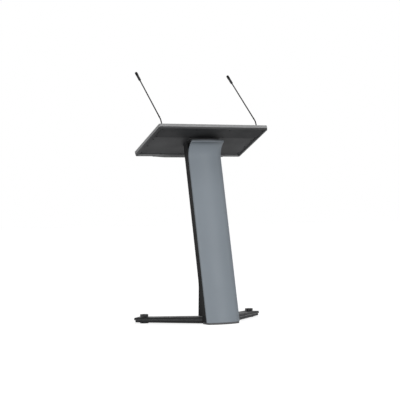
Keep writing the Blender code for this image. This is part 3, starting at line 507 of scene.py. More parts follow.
def make_finishes():
    """Every finish under a short name; those of one kind share their grain."""
    paint = dict(mottle=(3, 0.025), rough=(9, 0.04), grain=(700, 0.03), fine=(2600, 0.012),
                 wear=0.10)
    powder = dict(grain=(1100, 0.09), fine=(3200, 0.04))
    # painted light: the tray's rims and far inner wall take paint lighter than the underside, for
    # the light they catch
    painted_light_settings = dict(powder, mottle=(6, 0.12), rough=(14, 0.06), specular=0.2)
    plating = dict(mottle=(60, 0.08), grain=(2400, 0.03), fine=(5200, 0.01))
    made = {
        "panel_paint": finish("satin_blue_grey_paint_with_painted_shade", (0.265, 0.301, 0.337), 0.44,
                              specular=0.25, **paint),
        # painted shade: a darker copy of the panel paint on the upright lip stands in for the
        # desk's shadow on it
        "painted_shade_lip": finish("painted_shade_panel_lip", (0.112, 0.124, 0.138), 0.48, specular=0.2, **paint),
        "powder_coat": finish("black_powder_coat", (0.0095, 0.0098, 0.0104), 0.58, (5, 0.10),
                              (14, 0.06), wear=0.15, specular=0.06, **powder),
        "base": finish("base_casting_paint", (0.130, 0.132, 0.135), 0.50, (5, 0.08),
                       (14, 0.06), (700, 0.10), (2400, 0.04), 0.20, 0.25),
        "under": finish("grey_powder_coat_with_painted_light", (0.062, 0.063, 0.066), 0.58, (4, 0.08),
                        (12, 0.05), wear=0.55, specular=0.145, **powder),
        "wall": finish("painted_light_tray_wall", (0.340, 0.343, 0.348), 0.56, **painted_light_settings),
        "rim": finish("painted_light_tray_rim", (0.120, 0.122, 0.126), 0.56, **painted_light_settings),
        "cover": finish("dark_powder_coat", (0.038, 0.039, 0.041), 0.60, (5, 0.08),
                        (12, 0.05), wear=0.20, specular=0.10, **powder),
        "leg_paint": finish("painted_leg_casting", (0.0195, 0.020, 0.021), 0.52, (7, 0.12),
                            (20, 0.07), (420, 0.16), (1900, 0.07), 0.40, 0.12),
        # painted highlight: the bead's paint is far lighter than the leg's, for light catching
        # its top
        "bead": finish("painted_highlight_leg_bead", (0.150, 0.152, 0.156), 0.42, (9, 0.20),
                       (24, 0.07), (420, 0.12), (1900, 0.05), specular=0.3),
        "laminate": finish("dark_grey_laminate", (0.066, 0.070, 0.076), 0.52, (2, 0.05),
                           (7, 0.05), (520, 0.10), (2400, 0.05), specular=0.35),
        "stop": finish("stop_edge_paint", (0.310, 0.312, 0.316), 0.50, (4, 0.08),
                       (12, 0.05), (900, 0.06), (2800, 0.03), 0.20, 0.3),
        "edge_band": finish("light_grey_edging", (0.275, 0.277, 0.280), 0.45, (9, 0.03),
                            (25, 0.05), (900, 0.04), (3000, 0.02), 0.08, 0.35),
        "black_rubber": finish("black_rubber", (0.030, 0.030, 0.031), 0.78, (22, 0.15),
                               (40, 0.06), (800, 0.12), (2500, 0.06), specular=0.2),
        "black_plastic": finish("black_moulded_plastic", (0.017, 0.017, 0.018), 0.46,
                                (25, 0.10), (35, 0.05), (1500, 0.06), (4200, 0.03), 0.10, 0.35),
        "zinc_steel": finish("zinc_plated_steel", (0.46, 0.46, 0.45), 0.32, rough=(120, 0.08),
                             metallic=1.0, **plating),
        "black_zinc": finish("black_zinc_plate", (0.030, 0.030, 0.031), 0.48,
                             rough=(120, 0.06), specular=0.2, metallic=0.5, **plating),
        "microphone_paint": finish("satin_black_microphone_paint", (0.010, 0.010, 0.011), 0.48,
                                   (40, 0.08), (70, 0.05), (2600, 0.03), (5600, 0.01), 0.10,
                                   0.15),
        "windscreen_foam": finish("open_cell_foam", (0.014, 0.014, 0.014), 0.93, (700, 0.35),
                                  (300, 0.04), (1600, 0.50), (3600, 0.25), specular=0.1),
    }
    # painted shade: the panel paint darkens where the sheet faces down, in the curl under the lip
    shade(made["panel_paint"], "Normal", "Z", (0.5, 1.0), (-0.86, -0.62))
    # painted shade: the panel paint darkens toward its right edge, where the rounded edge turns
    # away from the lamps
    shade(made["panel_paint"], "Normal", "X", (1.0, 0.80), (0.33, 0.46))
    # painted shade and light: the underside's paint runs from darker behind the cover to lighter
    # at the far edge, for how light falls under the desk
    shade(made["under"], "Object", "Y", (0.66, 1.60),
          [(TO_DESK @ Vector((0, y, 0))).y for y in (COVER_DEPTH, DESK_DEPTH)])
    return made


FINISH = make_finishes()


def repaint(made, look, chosen):
    """Give the faces whose corners all pass chosen(corner) a second finish."""
    mesh = made.data
    mesh.materials.append(FINISH[look])
    for face in mesh.polygons:
        if all(chosen(mesh.vertices[index].co) for index in face.vertices):
            face.material_index = len(mesh.materials) - 1


# -------- column
def panel_arc(x):
    """How far in front of its edges the panel stands at x."""
    return PANEL_BOW * (1 - (x / PANEL_HALF) ** 2)


def panel_stations():
    """Up the panel's edges: (y, z, lean of the sheet, share of the side returns)."""
    stations = [((z - PANEL_FOOT) * tan(LEAN), z, LEAN, 1.0)
                for z in evenly(PANEL_FOOT, FLARE_START, 24)]
    y, z = stations[-1][:2]
    steps = 36
    for k in range(1, steps + 1):
        angle = LEAN - FLARE_TURN * k / steps
        stations.append((y + FLARE_RADIUS * (cos(angle) - cos(LEAN)),
                         z + FLARE_RADIUS * (sin(LEAN) - sin(angle)), angle, 1 - k / steps))
    y, z, start = stations[-1][:3]
    for angle in evenly(start, 0.0, 10)[1:]:
        stations.append((y - HEM_RADIUS * (cos(angle) - cos(start)),
                         z + HEM_RADIUS * (sin(angle) - sin(start)), angle, 0.0))
    y, z = stations[-1][:2]
    return stations + [(y, height, 0.0, 0.0) for height in evenly(z, PANEL_TOP, 3)[1:]]


def panel_section(depth, rounding, thin):
    """(x, distance behind the face) round the sheet; thin is taken off both faces."""
    across = 56

    def face(sheet, bend):
        """One face of the sheet, from its right edge to its left edge."""
        right = [(PANEL_HALF - sheet, depth)]
        right += [(PANEL_HALF - sheet - bend * flat, sheet + bend * rise)
                  for flat, rise in quarter(8)]
        middle = [((PANEL_HALF - rounding) * (1 - 2 * i / across), sheet)
                  for i in range(1, across)]
        return right + middle + [(-x, back) for x, back in reversed(right)]

    inner = face(PANEL_SHEET - thin, max(rounding - PANEL_SHEET, 0.0004) + thin)
    return face(thin, rounding - thin) + inner[::-1]


def panel_ring(station, thin, level_z=None):
    """One ring round the sheet at a station, cut level at level_z if that is given."""
    y, z, lean, share = station
    depth = HEM_DEPTH + (PANEL_RETURN - HEM_DEPTH) * share - thin
    ring = []
    for x, back in panel_section(depth, HEM_ROUND + (PANEL_ROUND - HEM_ROUND) * share, thin):
        py = y - panel_arc(x) + back * cos(lean)
        pz = z - back * sin(lean)
        if level_z is not None:
            py += (level_z - pz) * tan(lean)
            pz = level_z
        ring.append(Vector((x, py, pz)))
    return ring


def build_front_panel():
    stations = panel_stations()
    softened = [(PANEL_EDGE, 0.0), (PANEL_EDGE * 0.3, PANEL_EDGE * 0.3), (0.0, PANEL_EDGE)]
    rings = [panel_ring(stations[0], thin, PANEL_FOOT + along) for thin, along in softened]
    rings += [panel_ring(station, 0.0) for station in stations[1:-1]]
    y, z, lean, share = stations[-1]
    rings += [panel_ring((y, z - along, lean, share), thin)
              for thin, along in reversed(softened)]
    skin = stand_in("front_panel", "skin", loft(rings), TO_FOOT, "panel_paint",
                    sharp=40)
    # painted shade: the lip's faces take the darker copy of the panel paint, for the desk's
    # shadow
    repaint(skin, "painted_shade_lip", lambda corner: corner.z > PANEL_TOP - HEM_RISE - 1e-5)


def shell_back(z):
    """The shell's back at a level height: parallel to the column, spreading at the foot."""
    leaning = SHELL_DEPTH + (z - PANEL_FOOT) * tan(LEAN)
    spread_back = SHELL_FOOT_Y - SHELL_KNEE_SLOPE * z
    half = (leaning - spread_back) / 2
    return (leaning + spread_back) / 2 + hypot(half, KNEE_BLEND)


def shell_section(z):
    """U-shaped plan of the shell at a level height, open toward the panel."""
    front = SHELL_LAP + (z - PANEL_FOOT) * tan(LEAN)

    def face(thin):
        half = PANEL_HALF - PANEL_SHEET - GAP - thin
        back = shell_back(z) - thin
        corner = SHELL_CORNER - thin
        return fillet([(half, front), (half, back), (-half, back), (-half, front)],
                      [0, corner, corner, 0], 10)

    return face(0.0) + face(SHELL_SHEET)[::-1]


def shell_head(last):
    """The shell's top ring, slanted with the desk, straight up from the section at last."""
    slope = tan(LEAN)
    under = (DESK_ORIGIN - FOOT).y * sin(DESK_TILT) + DESK_ORIGIN.z * cos(DESK_TILT)
    ring = []
    for x, y in shell_section(last):
        start = y - last * slope
        z = ((under - COLUMN_TOP_DEPTH - start * sin(DESK_TILT))
             / (slope * sin(DESK_TILT) + cos(DESK_TILT)))
        ring.append(Vector((x, start + z * slope, z)))
    return ring


def build_rear_shell():
    heights = evenly(BASE_TOP + GAP, SHELL_KNEE_TOP, 40)
    rings = [level(shell_section(z), z) for z in heights] + [shell_head(heights[-1])]
    shell = stand_in("rear_shell", "skin", loft(rings), TO_FOOT, "powder_coat")
    notch = loft([level(rectangle(0.4, 0.2, LEG_ROOT_Y - 0.001), z)
                  for z in (-0.02, LEG_TOP[1] + 0.001)])
    cut_away(shell, moved(notch, TO_FOOT))
    return shell


def build_grommet(shell):
    """Cut the cable's outlet into the shell's foot and line it with a rubber ring."""
    low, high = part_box("cable_grommet")
    centre = (low + high) / 2
    square = Matrix.Rotation(-pi / 2 + atan2(SHELL_KNEE_SLOPE, 1.0), 4, "X")
    hole = turned([(OUTLET_RADIUS, -0.02), (OUTLET_RADIUS, 0.02)])
    cut_away(shell, moved(hole, shift(centre) @ square))
    front = 0.0030
    ring = [(0.0060, -0.0042), (0.0124, -0.0042), (0.0130, -0.0036), (0.0130, -0.0023),
            (0.0097, -0.0023), (0.0097, 0.0003), (0.0130, 0.0003), (0.0130, 0.0012),
            (0.0122, 0.0024), (0.0100, 0.0029), (0.0072, front), (0.0062, 0.0026)]
    face = Vector((0, high.y, centre.z)) - square @ Vector((0, 0, front))
    stand_in("cable_grommet", "ring", turned(ring, 64, True),
             shift(face) @ square, "black_rubber")


def base_plan():
    """The base's plan: a bowed front that ends in rounded corners, and a straight back."""
    shoulder = BASE_HALF - BASE_CORNER
    front_y = -panel_arc(shoulder) - BASE_LIP
    corner = [(BASE_CORNER * across - BASE_HALF, front_y + BASE_CORNER * rise)
              for across, rise in quarter(12)]
    bow = [(x, -panel_arc(x) - BASE_LIP) for x in evenly(-BASE_HALF, BASE_HALF, 60)
           if abs(x) < shoulder - 0.001]
    back = LEG_ROOT_Y - GAP
    return (corner + bow + [(-x, y) for x, y in reversed(corner)]
            + [(BASE_HALF, back), (-BASE_HALF, back)])


def build_base():
    plan = base_plan()
    plate = loft(rounded_stack(plan, PLATE_LOW, BASE_TOP, 0.0008))
    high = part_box("base_plate")[1].z
    upright = rectangle(2 * (BASE_HALF - 0.006), UPSTAND_THICK, LEG_ROOT_Y - GAP - UPSTAND_THICK)
    upstand = loft(rounded_stack(upright, BASE_TOP - 0.004, high, 0.0005))
    stand_in("base_plate", "casting", join(plate, upstand), TO_FOOT, "base")
    sole = loft(rounded_stack(inset(plan, 0.0015), 0.0, PLATE_LOW - GAP, 0.0004))
    stand_in("base_sole", "sheet", sole, TO_FOOT, "black_rubber")


# -------- legs and levelling feet
LEG_DIR = Vector((sin(LEG_SPLAY), cos(LEG_SPLAY)))      # right leg, root to tip
LEG_IN = Vector((-cos(LEG_SPLAY), sin(LEG_SPLAY)))      # across it, toward the other leg
LEG_TIP = Vector((LEG_TIP_X, LEG_TIP_Y))


def leg_outline(side_inset=0.0, tip_inset=0.0, bead=0.0, corner=0.004):
    """Right leg in plan, anticlockwise: outer side, tip, inner side, mitre, root."""
    tip = LEG_TIP - LEG_DIR * (tip_inset - bead)
    outer = tip + LEG_IN * (side_inset - bead)
    inner = tip + LEG_IN * (LEG_WIDTH - side_inset + bead)
    root_y = LEG_ROOT_Y + side_inset
    middle = GAP + side_inset
    outer_root = outer - LEG_DIR * ((outer.y - root_y) / LEG_DIR.y)
    apex = inner - LEG_DIR * ((inner.x - middle) / LEG_DIR.x)
    points = [outer_root, outer, inner, apex, Vector((middle, root_y))]
    return fillet([(p.x, p.y) for p in points], [0, corner, corner, 0, 0], 6)


def leg_height(x, y, ends):
    along = (LEG_TIP - Vector((x, y))).dot(LEG_DIR)
    return ends[0] + (ends[1] - ends[0]) * along / LEG_SLOPE_LENGTH


def leg_ring(outline, ends, sign, offset=0.0):
    return [Vector((sign * x, y, leg_height(x, y, ends) + offset)) for x, y in outline]


def build_leg(side, sign):
    middle = [(low + high) / 2 for low, high in zip(LEG_BOTTOM, LEG_TOP)]
    hollow = leg_outline(LEG_LEDGE + LEG_WALL, LEG_TIP_LEDGE + LEG_WALL, corner=0.003)
    lower = leg_outline(LEG_LEDGE, LEG_TIP_LEDGE)
    soft = 0.0008
    under = leg_outline(LEG_LEDGE + soft, LEG_TIP_LEDGE + soft)
    rings = [leg_ring(hollow, LEG_TOP, sign, -LEG_WALL), leg_ring(hollow, LEG_BOTTOM, sign),
             leg_ring(under, LEG_BOTTOM, sign), leg_ring(lower, LEG_BOTTOM, sign, soft),
             leg_ring(lower, middle, sign, -0.0006)]
    steps = 6
    for angle in evenly(0.0, pi, steps):
        rings.append(leg_ring(leg_outline(bead=LEG_BEAD * sin(angle)), middle, sign,
                              LEG_BEAD_HIGH * (1 - cos(angle)) / 2))
    for across, rise in quarter(steps):
        shrink = LEG_ROUND * across
        rings.append(leg_ring(leg_outline(shrink, shrink, corner=0.004 + shrink), LEG_TOP,
                              sign, -LEG_ROUND * rise))
    leg = stand_in(f"{side}_leg", "casting", loft(rings), TO_FOOT, "leg_paint")

    def on_bead(corner):
        flat = TO_FOOT.inverted() @ corner
        return -0.0001 < flat.z - leg_height(abs(flat.x), flat.y, middle) < LEG_BEAD_HIGH + 0.0001

    # painted highlight: the bead's faces take the lighter paint
    repaint(leg, "bead", on_bead)
    low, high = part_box(f"{side}_levelling_screw")
    centre = (low + high) / 2
    hole = turned([(SCREW_BORE, -0.04), (SCREW_BORE, 0.04)], 48)
    cut_away(leg, moved(hole, shift((centre.x, centre.y, high.z))))


def threaded(radius, length, pitch, depth, count=32, per_turn=8):
    """Bolt with a real helical thread along Z, from z = 0 up."""
    rings = []
    for z in evenly(0.0, length, int(length / pitch * per_turn)):
        ends = min(1.0, z / pitch, (length - z) / pitch)

        def size(i):
            tooth = 1 - abs(2 * ((z / pitch - i / count) % 1.0) - 1)
            return radius - depth * (1 - tooth * ends)

        rings.append(level(radial(count, size), z))
    return loft(rings)


def lobed(radius, dip=KNOB_DIP):
    """Star plan: rounded lobes with shallow dips between them."""
    return radial(KNOB_POINTS, lambda i: radius - dip / 2 + dip / 2
                  * cos(KNOB_LOBES * (2 * pi * i / KNOB_POINTS)))


def build_pad(side, place, radius, top):
    pad = [(0.0005, 0.0006), (radius - 0.004, 0.0006), (radius - 0.0032, 0.0),
           (radius - 0.0010, 0.0), (radius - 0.0003, 0.0003), (radius, 0.0010),
           (radius, 0.0040), (radius - 0.0004, 0.0048), (radius - 0.0016, 0.0054),
           (0.0135, 0.0106), (0.0118, 0.0116), (0.0105, top), (SCREW_BORE + 0.0006, top),
           (SCREW_BORE, top - 0.0006), (SCREW_BORE, PAD_SEAT), (0.0005, PAD_SEAT)]
    stand_in(f"{side}_foot_pad", "moulding", turned(pad, 96), place, "black_rubber",
             f"{side}_foot")


def build_bush_and_screw(side, place):
    low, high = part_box(f"{side}_foot_bush")
    bush = [(SCREW_BORE, low.z + 0.0008), (SCREW_BORE + 0.0008, low.z),
            (BUSH_RADIUS - 0.001, low.z), (BUSH_RADIUS, low.z + 0.001),
            (BUSH_RADIUS, high.z - 0.0005), (BUSH_RADIUS - 0.0005, high.z),
            (SCREW_BORE, high.z)]
    stand_in(f"{side}_foot_bush", "turned", turned(bush, 64, True), place, "zinc_steel")

    low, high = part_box(f"{side}_levelling_screw")
    screw = moved(threaded(SCREW_RADIUS, high.z - low.z, SCREW_PITCH, 0.00075),
                  shift((0, 0, low.z)))
    stand_in(f"{side}_levelling_screw", "thread", screw, place, "zinc_steel",
             f"{side}_foot_screw", sharp=50)


def build_knob(side, place):
    """Star knob: a blind bore, a lobed rim and a dished boss on top."""
    low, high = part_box(f"{side}_levelling_knob")
    tall = high.z - low.z
    top_of_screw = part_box(f"{side}_levelling_screw")[1].z - low.z + GAP
    rings = circles([(SCREW_BORE, top_of_screw), (SCREW_BORE, 0.0004),
                     (SCREW_BORE + 0.0004, 0.0), (0.0120, 0.0), (0.0130, 0.0006)], KNOB_POINTS)
    rings += [level(lobed(KNOB_RADIUS * share), z) for share, z in (
        (0.86, 0.0008), (0.90, 0.0002), (0.955, 0.0006), (0.985, 0.0013), (1.0, 0.0024))]
    rings += [level(lobed(KNOB_RADIUS * share, KNOB_DIP * share), tall - drop)
              for share, drop in ((1.0, 0.0036), (0.99, 0.0020), (0.965, 0.0009),
                                  (0.93, 0.0003), (0.88, 0.0), (0.60, 0.0))]
    rings += circles([(0.0118, tall - 0.0002), (0.0112, tall - 0.0010),
                      (0.0104, tall - 0.0012), (0.0100, tall - 0.0004),
                      (0.0090, tall - 0.0001), (0.0030, tall)], KNOB_POINTS)
    stand_in(f"{side}_levelling_knob", "moulding", loft(rings),
             place @ shift((0, 0, low.z)), "black_plastic", f"{side}_foot_screw", sharp=50)


def build_foot(side):
    low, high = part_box(f"{side}_foot_pad")
    place = shift(((low.x + high.x) / 2, (low.y + high.y) / 2, 0))
    build_pad(side, place, (high.x - low.x) / 2, high.z)
    build_bush_and_screw(side, place)
    build_knob(side, place)


# -------- desk
def screw_head(radius, height, drive, count=36):
    """Low round head on z = 0 with a hexagon socket."""
    outside = [(0.4, 0.0), (1.0, 0.0), (1.0, 0.45), (0.93, 0.75), (0.80, 0.93), (0.62, 1.0)]
    rings = circles([(radius * out, height * up) for out, up in outside], count)
    hole = hexagon(drive, count)
    return loft(rings + [level(inset(hole, -0.0002), height), level(hole, height - 0.0002),
                         level(hole, height * 0.35)])


def stop_reach(x):
    """How far the paper stop stands off the desk's edge at x."""
    share = min(1.0, (STOP_WIDTH / 2 - abs(x)) / STOP_TAPER)
    return STOP_MIN + (STOP_MAX - STOP_MIN) * share * share * (3 - 2 * share)


def desk_plan(margin=0.0):
    """The desk's plan, smaller all round by a margin."""
    corner = max(DESK_CORNER - margin, TRAY_WELL_CORNER)
    return fillet(rectangle(DESK_WIDTH - 2 * margin, DESK_DEPTH - 2 * margin, margin), corner, 16)


def desk_ring(margin, z):
    return level(desk_plan(margin), z)


def at_socket(sign):
    """The frame of a microphone's socket in the model's frame."""
    return TO_DESK @ shift((sign * MIC_X, MIC_Y, 0))


def bore_desk(made, profile, count=64):
    """Cut a turned hole into a piece at each microphone's socket."""
    for sign in (-1, 1):
        cut_away(made, moved(turned(profile, count), at_socket(sign)))


def build_board():
    board = loft(rounded_stack(desk_plan(BAND_THICK + GAP), -BOARD_THICK, 0.0, 0.0004))
    made = stand_in("desk_board", "panel", board, TO_DESK, "laminate")
    recess = SOCKET_FLANGE + 0.0003
    step = -SOCKET_FLANGE_HIGH - GAP
    bore_desk(made, [(SOCKET_HOLE, -0.05), (SOCKET_HOLE, step), (recess, step), (recess, 0.01)])


def build_band():
    soft = 0.0008
    rings = [desk_ring(BAND_THICK, 0.0)]
    rings += [desk_ring(soft * across, -soft * rise) for rise, across in quarter(3)]
    rings += [desk_ring(soft * across, soft * rise - BOARD_THICK) for across, rise in quarter(3)]
    rings.append(desk_ring(BAND_THICK, -BOARD_THICK))
    piece("desk_edge_lipping", loft(rings, closed=True), TO_DESK, "edge_band",
          nodes=["desk_edge_band"])


def build_tray():
    inside = TRAY_INSET + TRAY_RIM
    soft = 0.0012
    rings = [desk_ring(TRAY_INSET, TRAY_TOP)]
    rings += [desk_ring(TRAY_INSET + soft * across, TRAY_BOTTOM + soft * rise)
              for across, rise in quarter(4)]
    rings += [desk_ring(inside - soft * across, TRAY_BOTTOM + soft * rise)
              for rise, across in quarter(4)]
    rings += [desk_ring(inside + soft * across, FLOOR_UNDER - soft * rise)
              for across, rise in quarter(4)]
    tray = stand_in("desk_tray", "pressing", loft(rings), TO_DESK, "under")
    to_desk = TO_DESK.inverted()

    def rim(axis, edge, lowest=-1.0):
        """Test for corners on the rim inside one edge of the desk, above a height; these take
        painted light.
        """
        def chosen(corner):
            spot = to_desk @ corner
            return spot[axis] > edge - inside - soft and lowest < spot.z < FLOOR_UNDER - 0.0001

        return chosen

    # painted light: lighter paint on the right-hand rim, the far rim and the far inner wall
    repaint(tray, "rim", rim(0, DESK_WIDTH / 2))
    repaint(tray, "rim", rim(1, DESK_DEPTH))
    repaint(tray, "wall", rim(1, DESK_DEPTH, TRAY_BOTTOM + soft / 2))
    bore_desk(tray, [(SOCKET_HOLE, -0.05), (SOCKET_HOLE, 0.05)], 48)


def build_cover():
    pan = fillet(rectangle(DESK_WIDTH - 2 * COVER_AT, COVER_DEPTH, COVER_AT), 0.006, 8)
    sheet = 0.0015
    hollow = inset(pan, sheet)
    rings = [level(hollow, COVER_FACE + sheet), level(hollow, FLOOR_UNDER - GAP),
             level(pan, FLOOR_UNDER - GAP)]
    soft = 0.0012
    rings += [level(inset(pan, soft * across), COVER_FACE + soft * rise)
              for across, rise in quarter(4)]
    stand_in("microphone_wiring_cover", "pan", loft(rings), TO_DESK, "cover")


def build_tray_screws():
    """Low heads along the cover's two long edges, and along the tray's sides and far edge."""
    margin = 0.012
    side = DESK_WIDTH / 2 - COVER_AT - margin
    far = DESK_DEPTH - COVER_AT - margin
    near = COVER_AT + COVER_DEPTH
    spots = [(side * share, y, COVER_FACE) for share in (-1, -1 / 3, 1 / 3, 1)
             for y in (COVER_AT + 0.010, near - 0.010)]
    spots += [(side * sign, near + (far - near) * share, FLOOR_UNDER)
              for sign in (-1, 1) for share in (1 / 6, 0.55, 0.95)]
    spots += [(side * share, far, FLOOR_UNDER) for share in (-0.6, -0.2, 0.2, 0.6)]
    heads = [moved(screw_head(radius=0.0036, height=0.0016, drive=0.0022),
                   shift(spot) @ Matrix.Rotation(pi, 4, "X")) for spot in spots]
    piece("tray_screws", join(*heads), TO_DESK, "powder_coat")


def build_paper_stop():
    edge = DESK_DEPTH + GAP
    half = STOP_WIDTH / 2
    outline = [(-half, edge), (half, edge)]
    outline += [(x, edge + stop_reach(x)) for x in evenly(half, -half, 120)]
    stop = loft(rounded_stack(outline, TRAY_BOTTOM, STOP_RISE, 0.0012, 4))
    stand_in("paper_stop", "rail", stop, TO_DESK, "stop")


def build_bolts():
    for number in (1, 2, 3, 4):
        replace_bolt(f"desk_bolt_{number}", -DESK_NORMAL, "black_zinc")
    for side in ("left", "right"):
        for place in ("inner", "outer"):
            replace_bolt(f"leg_bolt_{side}_{place}", Vector((0, -1, 0)), "zinc_steel")


def replace_bolt(node, outward, look):
    """Round-headed bolt with a hexagon socket and a threaded shank, along its CAD solid."""
    low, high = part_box(node)
    spin = Vector((0, 0, 1)).rotation_difference(outward).to_matrix().to_4x4()
    head_high = 0.0042
    head_radius = 0.0070
    span = high - low
    length = (span.y if abs(outward.y) > 0.9 else
              (span.z - 2 * head_radius * abs(outward.y)) / abs(outward.z))
    head = moved(screw_head(head_radius, head_high, drive=0.0050),
                 shift((0, 0, length / 2 - head_high)))
    shank = moved(threaded(0.0040, length - head_high, pitch=0.00125, depth=0.0006),
                  shift((0, 0, -length / 2)))
    stand_in(node, "turned", join(head, shank), shift((low + high) / 2) @ spin, look, sharp=45)


# -------- microphones
def neck_point(distance):
    """Centre line of a neck in its socket's frame: a point, and the lean of the line there."""
    if distance <= BEND_START:
        return Vector((0, 0, distance)), 0.0
    bent = min(distance - BEND_START, BEND_LENGTH)
    angle = bent / NECK_BEND_RADIUS
    rest = max(distance - BEND_START - BEND_LENGTH, 0.0)
    return Vector((0, NECK_BEND_RADIUS * (1 - cos(angle)) + rest * sin(angle),
                   BEND_START + NECK_BEND_RADIUS * sin(angle) + rest * cos(angle))), angle


def on_neck(distance):
    """Matrix that stands a turned piece on the neck's line."""
    point, angle = neck_point(distance)
    return shift(point) @ Matrix.Rotation(-angle, 4, "X")


def wound_tube(start, end, phase_from, count=24):
    """Flexible spiral-wound tube along the neck between two distances."""
    pitch = 0.0024
    per_turn = 10
    groove = 0.00045
    rings = []
    for distance in evenly(start, end, int((end - start) / pitch * per_turn)):
        def size(i):
            phase = ((distance - phase_from) / pitch - i / count) % 1.0
            return NECK_RADIUS - groove * max(0.0, cos(2 * pi * (phase - 0.5))) ** 3

        matrix = on_neck(distance)
        rings.append([matrix @ point for point in level(radial(count, size), 0)])
    return loft(rings)


def build_socket(side, place):
    bore = PLUG_RADIUS + 0.0003
    barrel, flange = SOCKET_BARREL, SOCKET_FLANGE
    ring = [(bore + 0.0005, 0.0), (bore, -0.0005), (bore, -SOCKET_LENGTH),
            (barrel - 0.0005, -SOCKET_LENGTH), (barrel, -SOCKET_LENGTH + 0.0005),
            (barrel, -SOCKET_FLANGE_HIGH), (flange, -SOCKET_FLANGE_HIGH), (flange, -0.0008),
            (flange - 0.0003, -0.0002), (flange - 0.0009, 0.0), (0.0086, 0.0),
            (0.0083, -0.0004), (0.0078, -0.0004), (0.0075, 0.0)]
    stand_in(f"{side}_microphone_socket", "moulding", turned(ring, 72, True), place,
             "black_plastic")
    top = FLOOR_UNDER - GAP
    count = 48
    hole = circle(SOCKET_HOLE, count)
    body = hexagon(0.0190, count)
    soft = [(x * 0.965, y * 0.965) for x, y in body]
    nut = loft([level(hole, top), level(soft, top), level(body, top - 0.0004),
                level(body, top - 0.0024), level(soft, top - 0.0028),
                level(hole, top - 0.0028)], closed=True)
    stand_in(f"{side}_socket_nut", "hexagon", nut, place, "zinc_steel")


def build_base_ferrule(side, place):
    """Plug, ferrule with a knurled grip, and a nose that holds the neck."""
    plug, wide = PLUG_RADIUS, FERRULE_RADIUS
    low, high = 0.0045, 0.0125
    knurl = 0.00035
    nose = FERRULE_HIGH + FERRULE_NOSE
    rows = [(plug - 0.0006, -0.0200), (plug, -0.0190), (plug, GAP), (wide - 0.0006, GAP),
            (wide, GAP + 0.0006), (wide, 0.0036), (wide - 0.0005, 0.0040),
            (wide - 0.0004, low - 0.0003), (wide, low, knurl), (wide, high, knurl),
            (wide - 0.0004, high + 0.0003), (wide - 0.0005, high + 0.0006),
            (wide, high + 0.0011), (wide, FERRULE_HIGH), (wide - 0.0009, FERRULE_HIGH + 0.0018),
            (NECK_RADIUS + 0.0010, nose - 0.0006), (NECK_RADIUS + 0.0006, nose)]
    stand_in(f"{side}_microphone_base", "turned", loft(circles(rows, 96, 4, 2)), place,
             "microphone_paint")


def build_neck(side, place):
    start = FERRULE_HIGH + FERRULE_NOSE + GAP
    middle = BEND_START + (PIVOT_SIDE + PIVOT_LEAN) / 2
    lower = piece(f"{side}_neck_winding_lower", wound_tube(start, middle, start), place,
                  "microphone_paint",
                  nodes=[f"{side}_neck_lower", f"{side}_neck_middle"], sharp=60, rides=False)
    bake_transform(lower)
    upper = piece(f"{side}_neck_winding_upper", wound_tube(middle, COLLAR_AT, start), place,
                  "microphone_paint", nodes=[f"{side}_neck_upper"],
                  sharp=60, rides=False)
    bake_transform(upper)


def build_stem(side, place):
    """Thin stem whose collar has two grooves."""
    wide, end = COLLAR_RADIUS, COLLAR_LENGTH
    soft = 0.0005
    deep = wide - 0.00035
    stem = [(wide - soft, 0.0), (wide, soft)]
    for z in (0.0025, 0.0045):
        stem += [(wide, z - 0.0004), (deep, z - 0.00024), (deep, z + 0.00024),
                 (wide, z + 0.0004)]
    stem += [(wide, end - 0.0030), (wide - 0.0004, end - 0.0020),
             (wide - 0.0010, end - 0.0008), (STEM_RADIUS, end + 0.001),
             (STEM_RADIUS, STEM_LENGTH)]
    stand_in(f"{side}_microphone_stem", "tube", turned(stem, 40),
             place @ on_neck(COLLAR_AT + GAP), "microphone_paint", f"{side}_microphone")


def build_capsule(side, place):
    """Capsule with a taper from the stem, a seam, and slots under its front rim."""
    wide = CAPSULE_RADIUS
    seam = CAPSULE_LENGTH - 0.0225
    slot_low, slot_high = CAPSULE_LENGTH - 0.0140, CAPSULE_LENGTH - 0.0055
    slot = 0.0009
    rows = [(STEM_RADIUS + 0.0004, 0.0), (STEM_RADIUS + 0.0009, 0.0005),
            (STEM_RADIUS + 0.0013, 0.0030), (wide - 0.0004, CAPSULE_TAPER - 0.0015),
            (wide, CAPSULE_TAPER + 0.0005), (wide, seam - 0.0006), (wide - 0.0004, seam - 0.0003),
            (wide - 0.0004, seam + 0.0003), (wide, seam + 0.0006), (wide, slot_low - 0.0001),
            (wide, slot_low, slot), (wide, slot_high, slot), (wide, slot_high + 0.0001),
            (wide, CAPSULE_LENGTH - 0.0006), (wide - 0.0006, CAPSULE_LENGTH)]
    stand_in(f"{side}_microphone_capsule", "body", loft(circles(rows, 120, 12, 5)),
             place @ on_neck(COLLAR_AT + 2 * GAP + STEM_LENGTH), "microphone_paint",
             f"{side}_microphone")


def build_windscreen(side, place):
    """Foam sleeve with a domed end and fine pores."""
    wide = SCREEN_RADIUS
    straight = SCREEN_LENGTH - wide
    profile = [(0.0046, 0.0004), (0.0052, 0.0), (wide - 0.0004, 0.0006)]
    profile += [(wide, z) for z in evenly(0.0018, straight, 29)]
    profile += [(wide * cos(angle), straight + wide * sin(angle))
                for angle in evenly(0.0, pi / 2 * 0.99, 16)[1:]]
    foam = turned(profile, 72)
    for vertex in foam.verts:
        away = Vector((vertex.co.x, vertex.co.y, max(0.0, vertex.co.z - straight)))
        if away.length > 1e-6:
            pore = noise.noise(vertex.co * 1400) * 0.00012 + noise.noise(vertex.co * 380) * 0.0001
            vertex.co -= away.normalized() * (0.00018 + pore)
    stand_in(f"{side}_microphone_windscreen", "foam", foam,
             place @ on_neck(COLLAR_AT + 3 * GAP + STEM_LENGTH + CAPSULE_LENGTH),
             "windscreen_foam", f"{side}_microphone", 80)


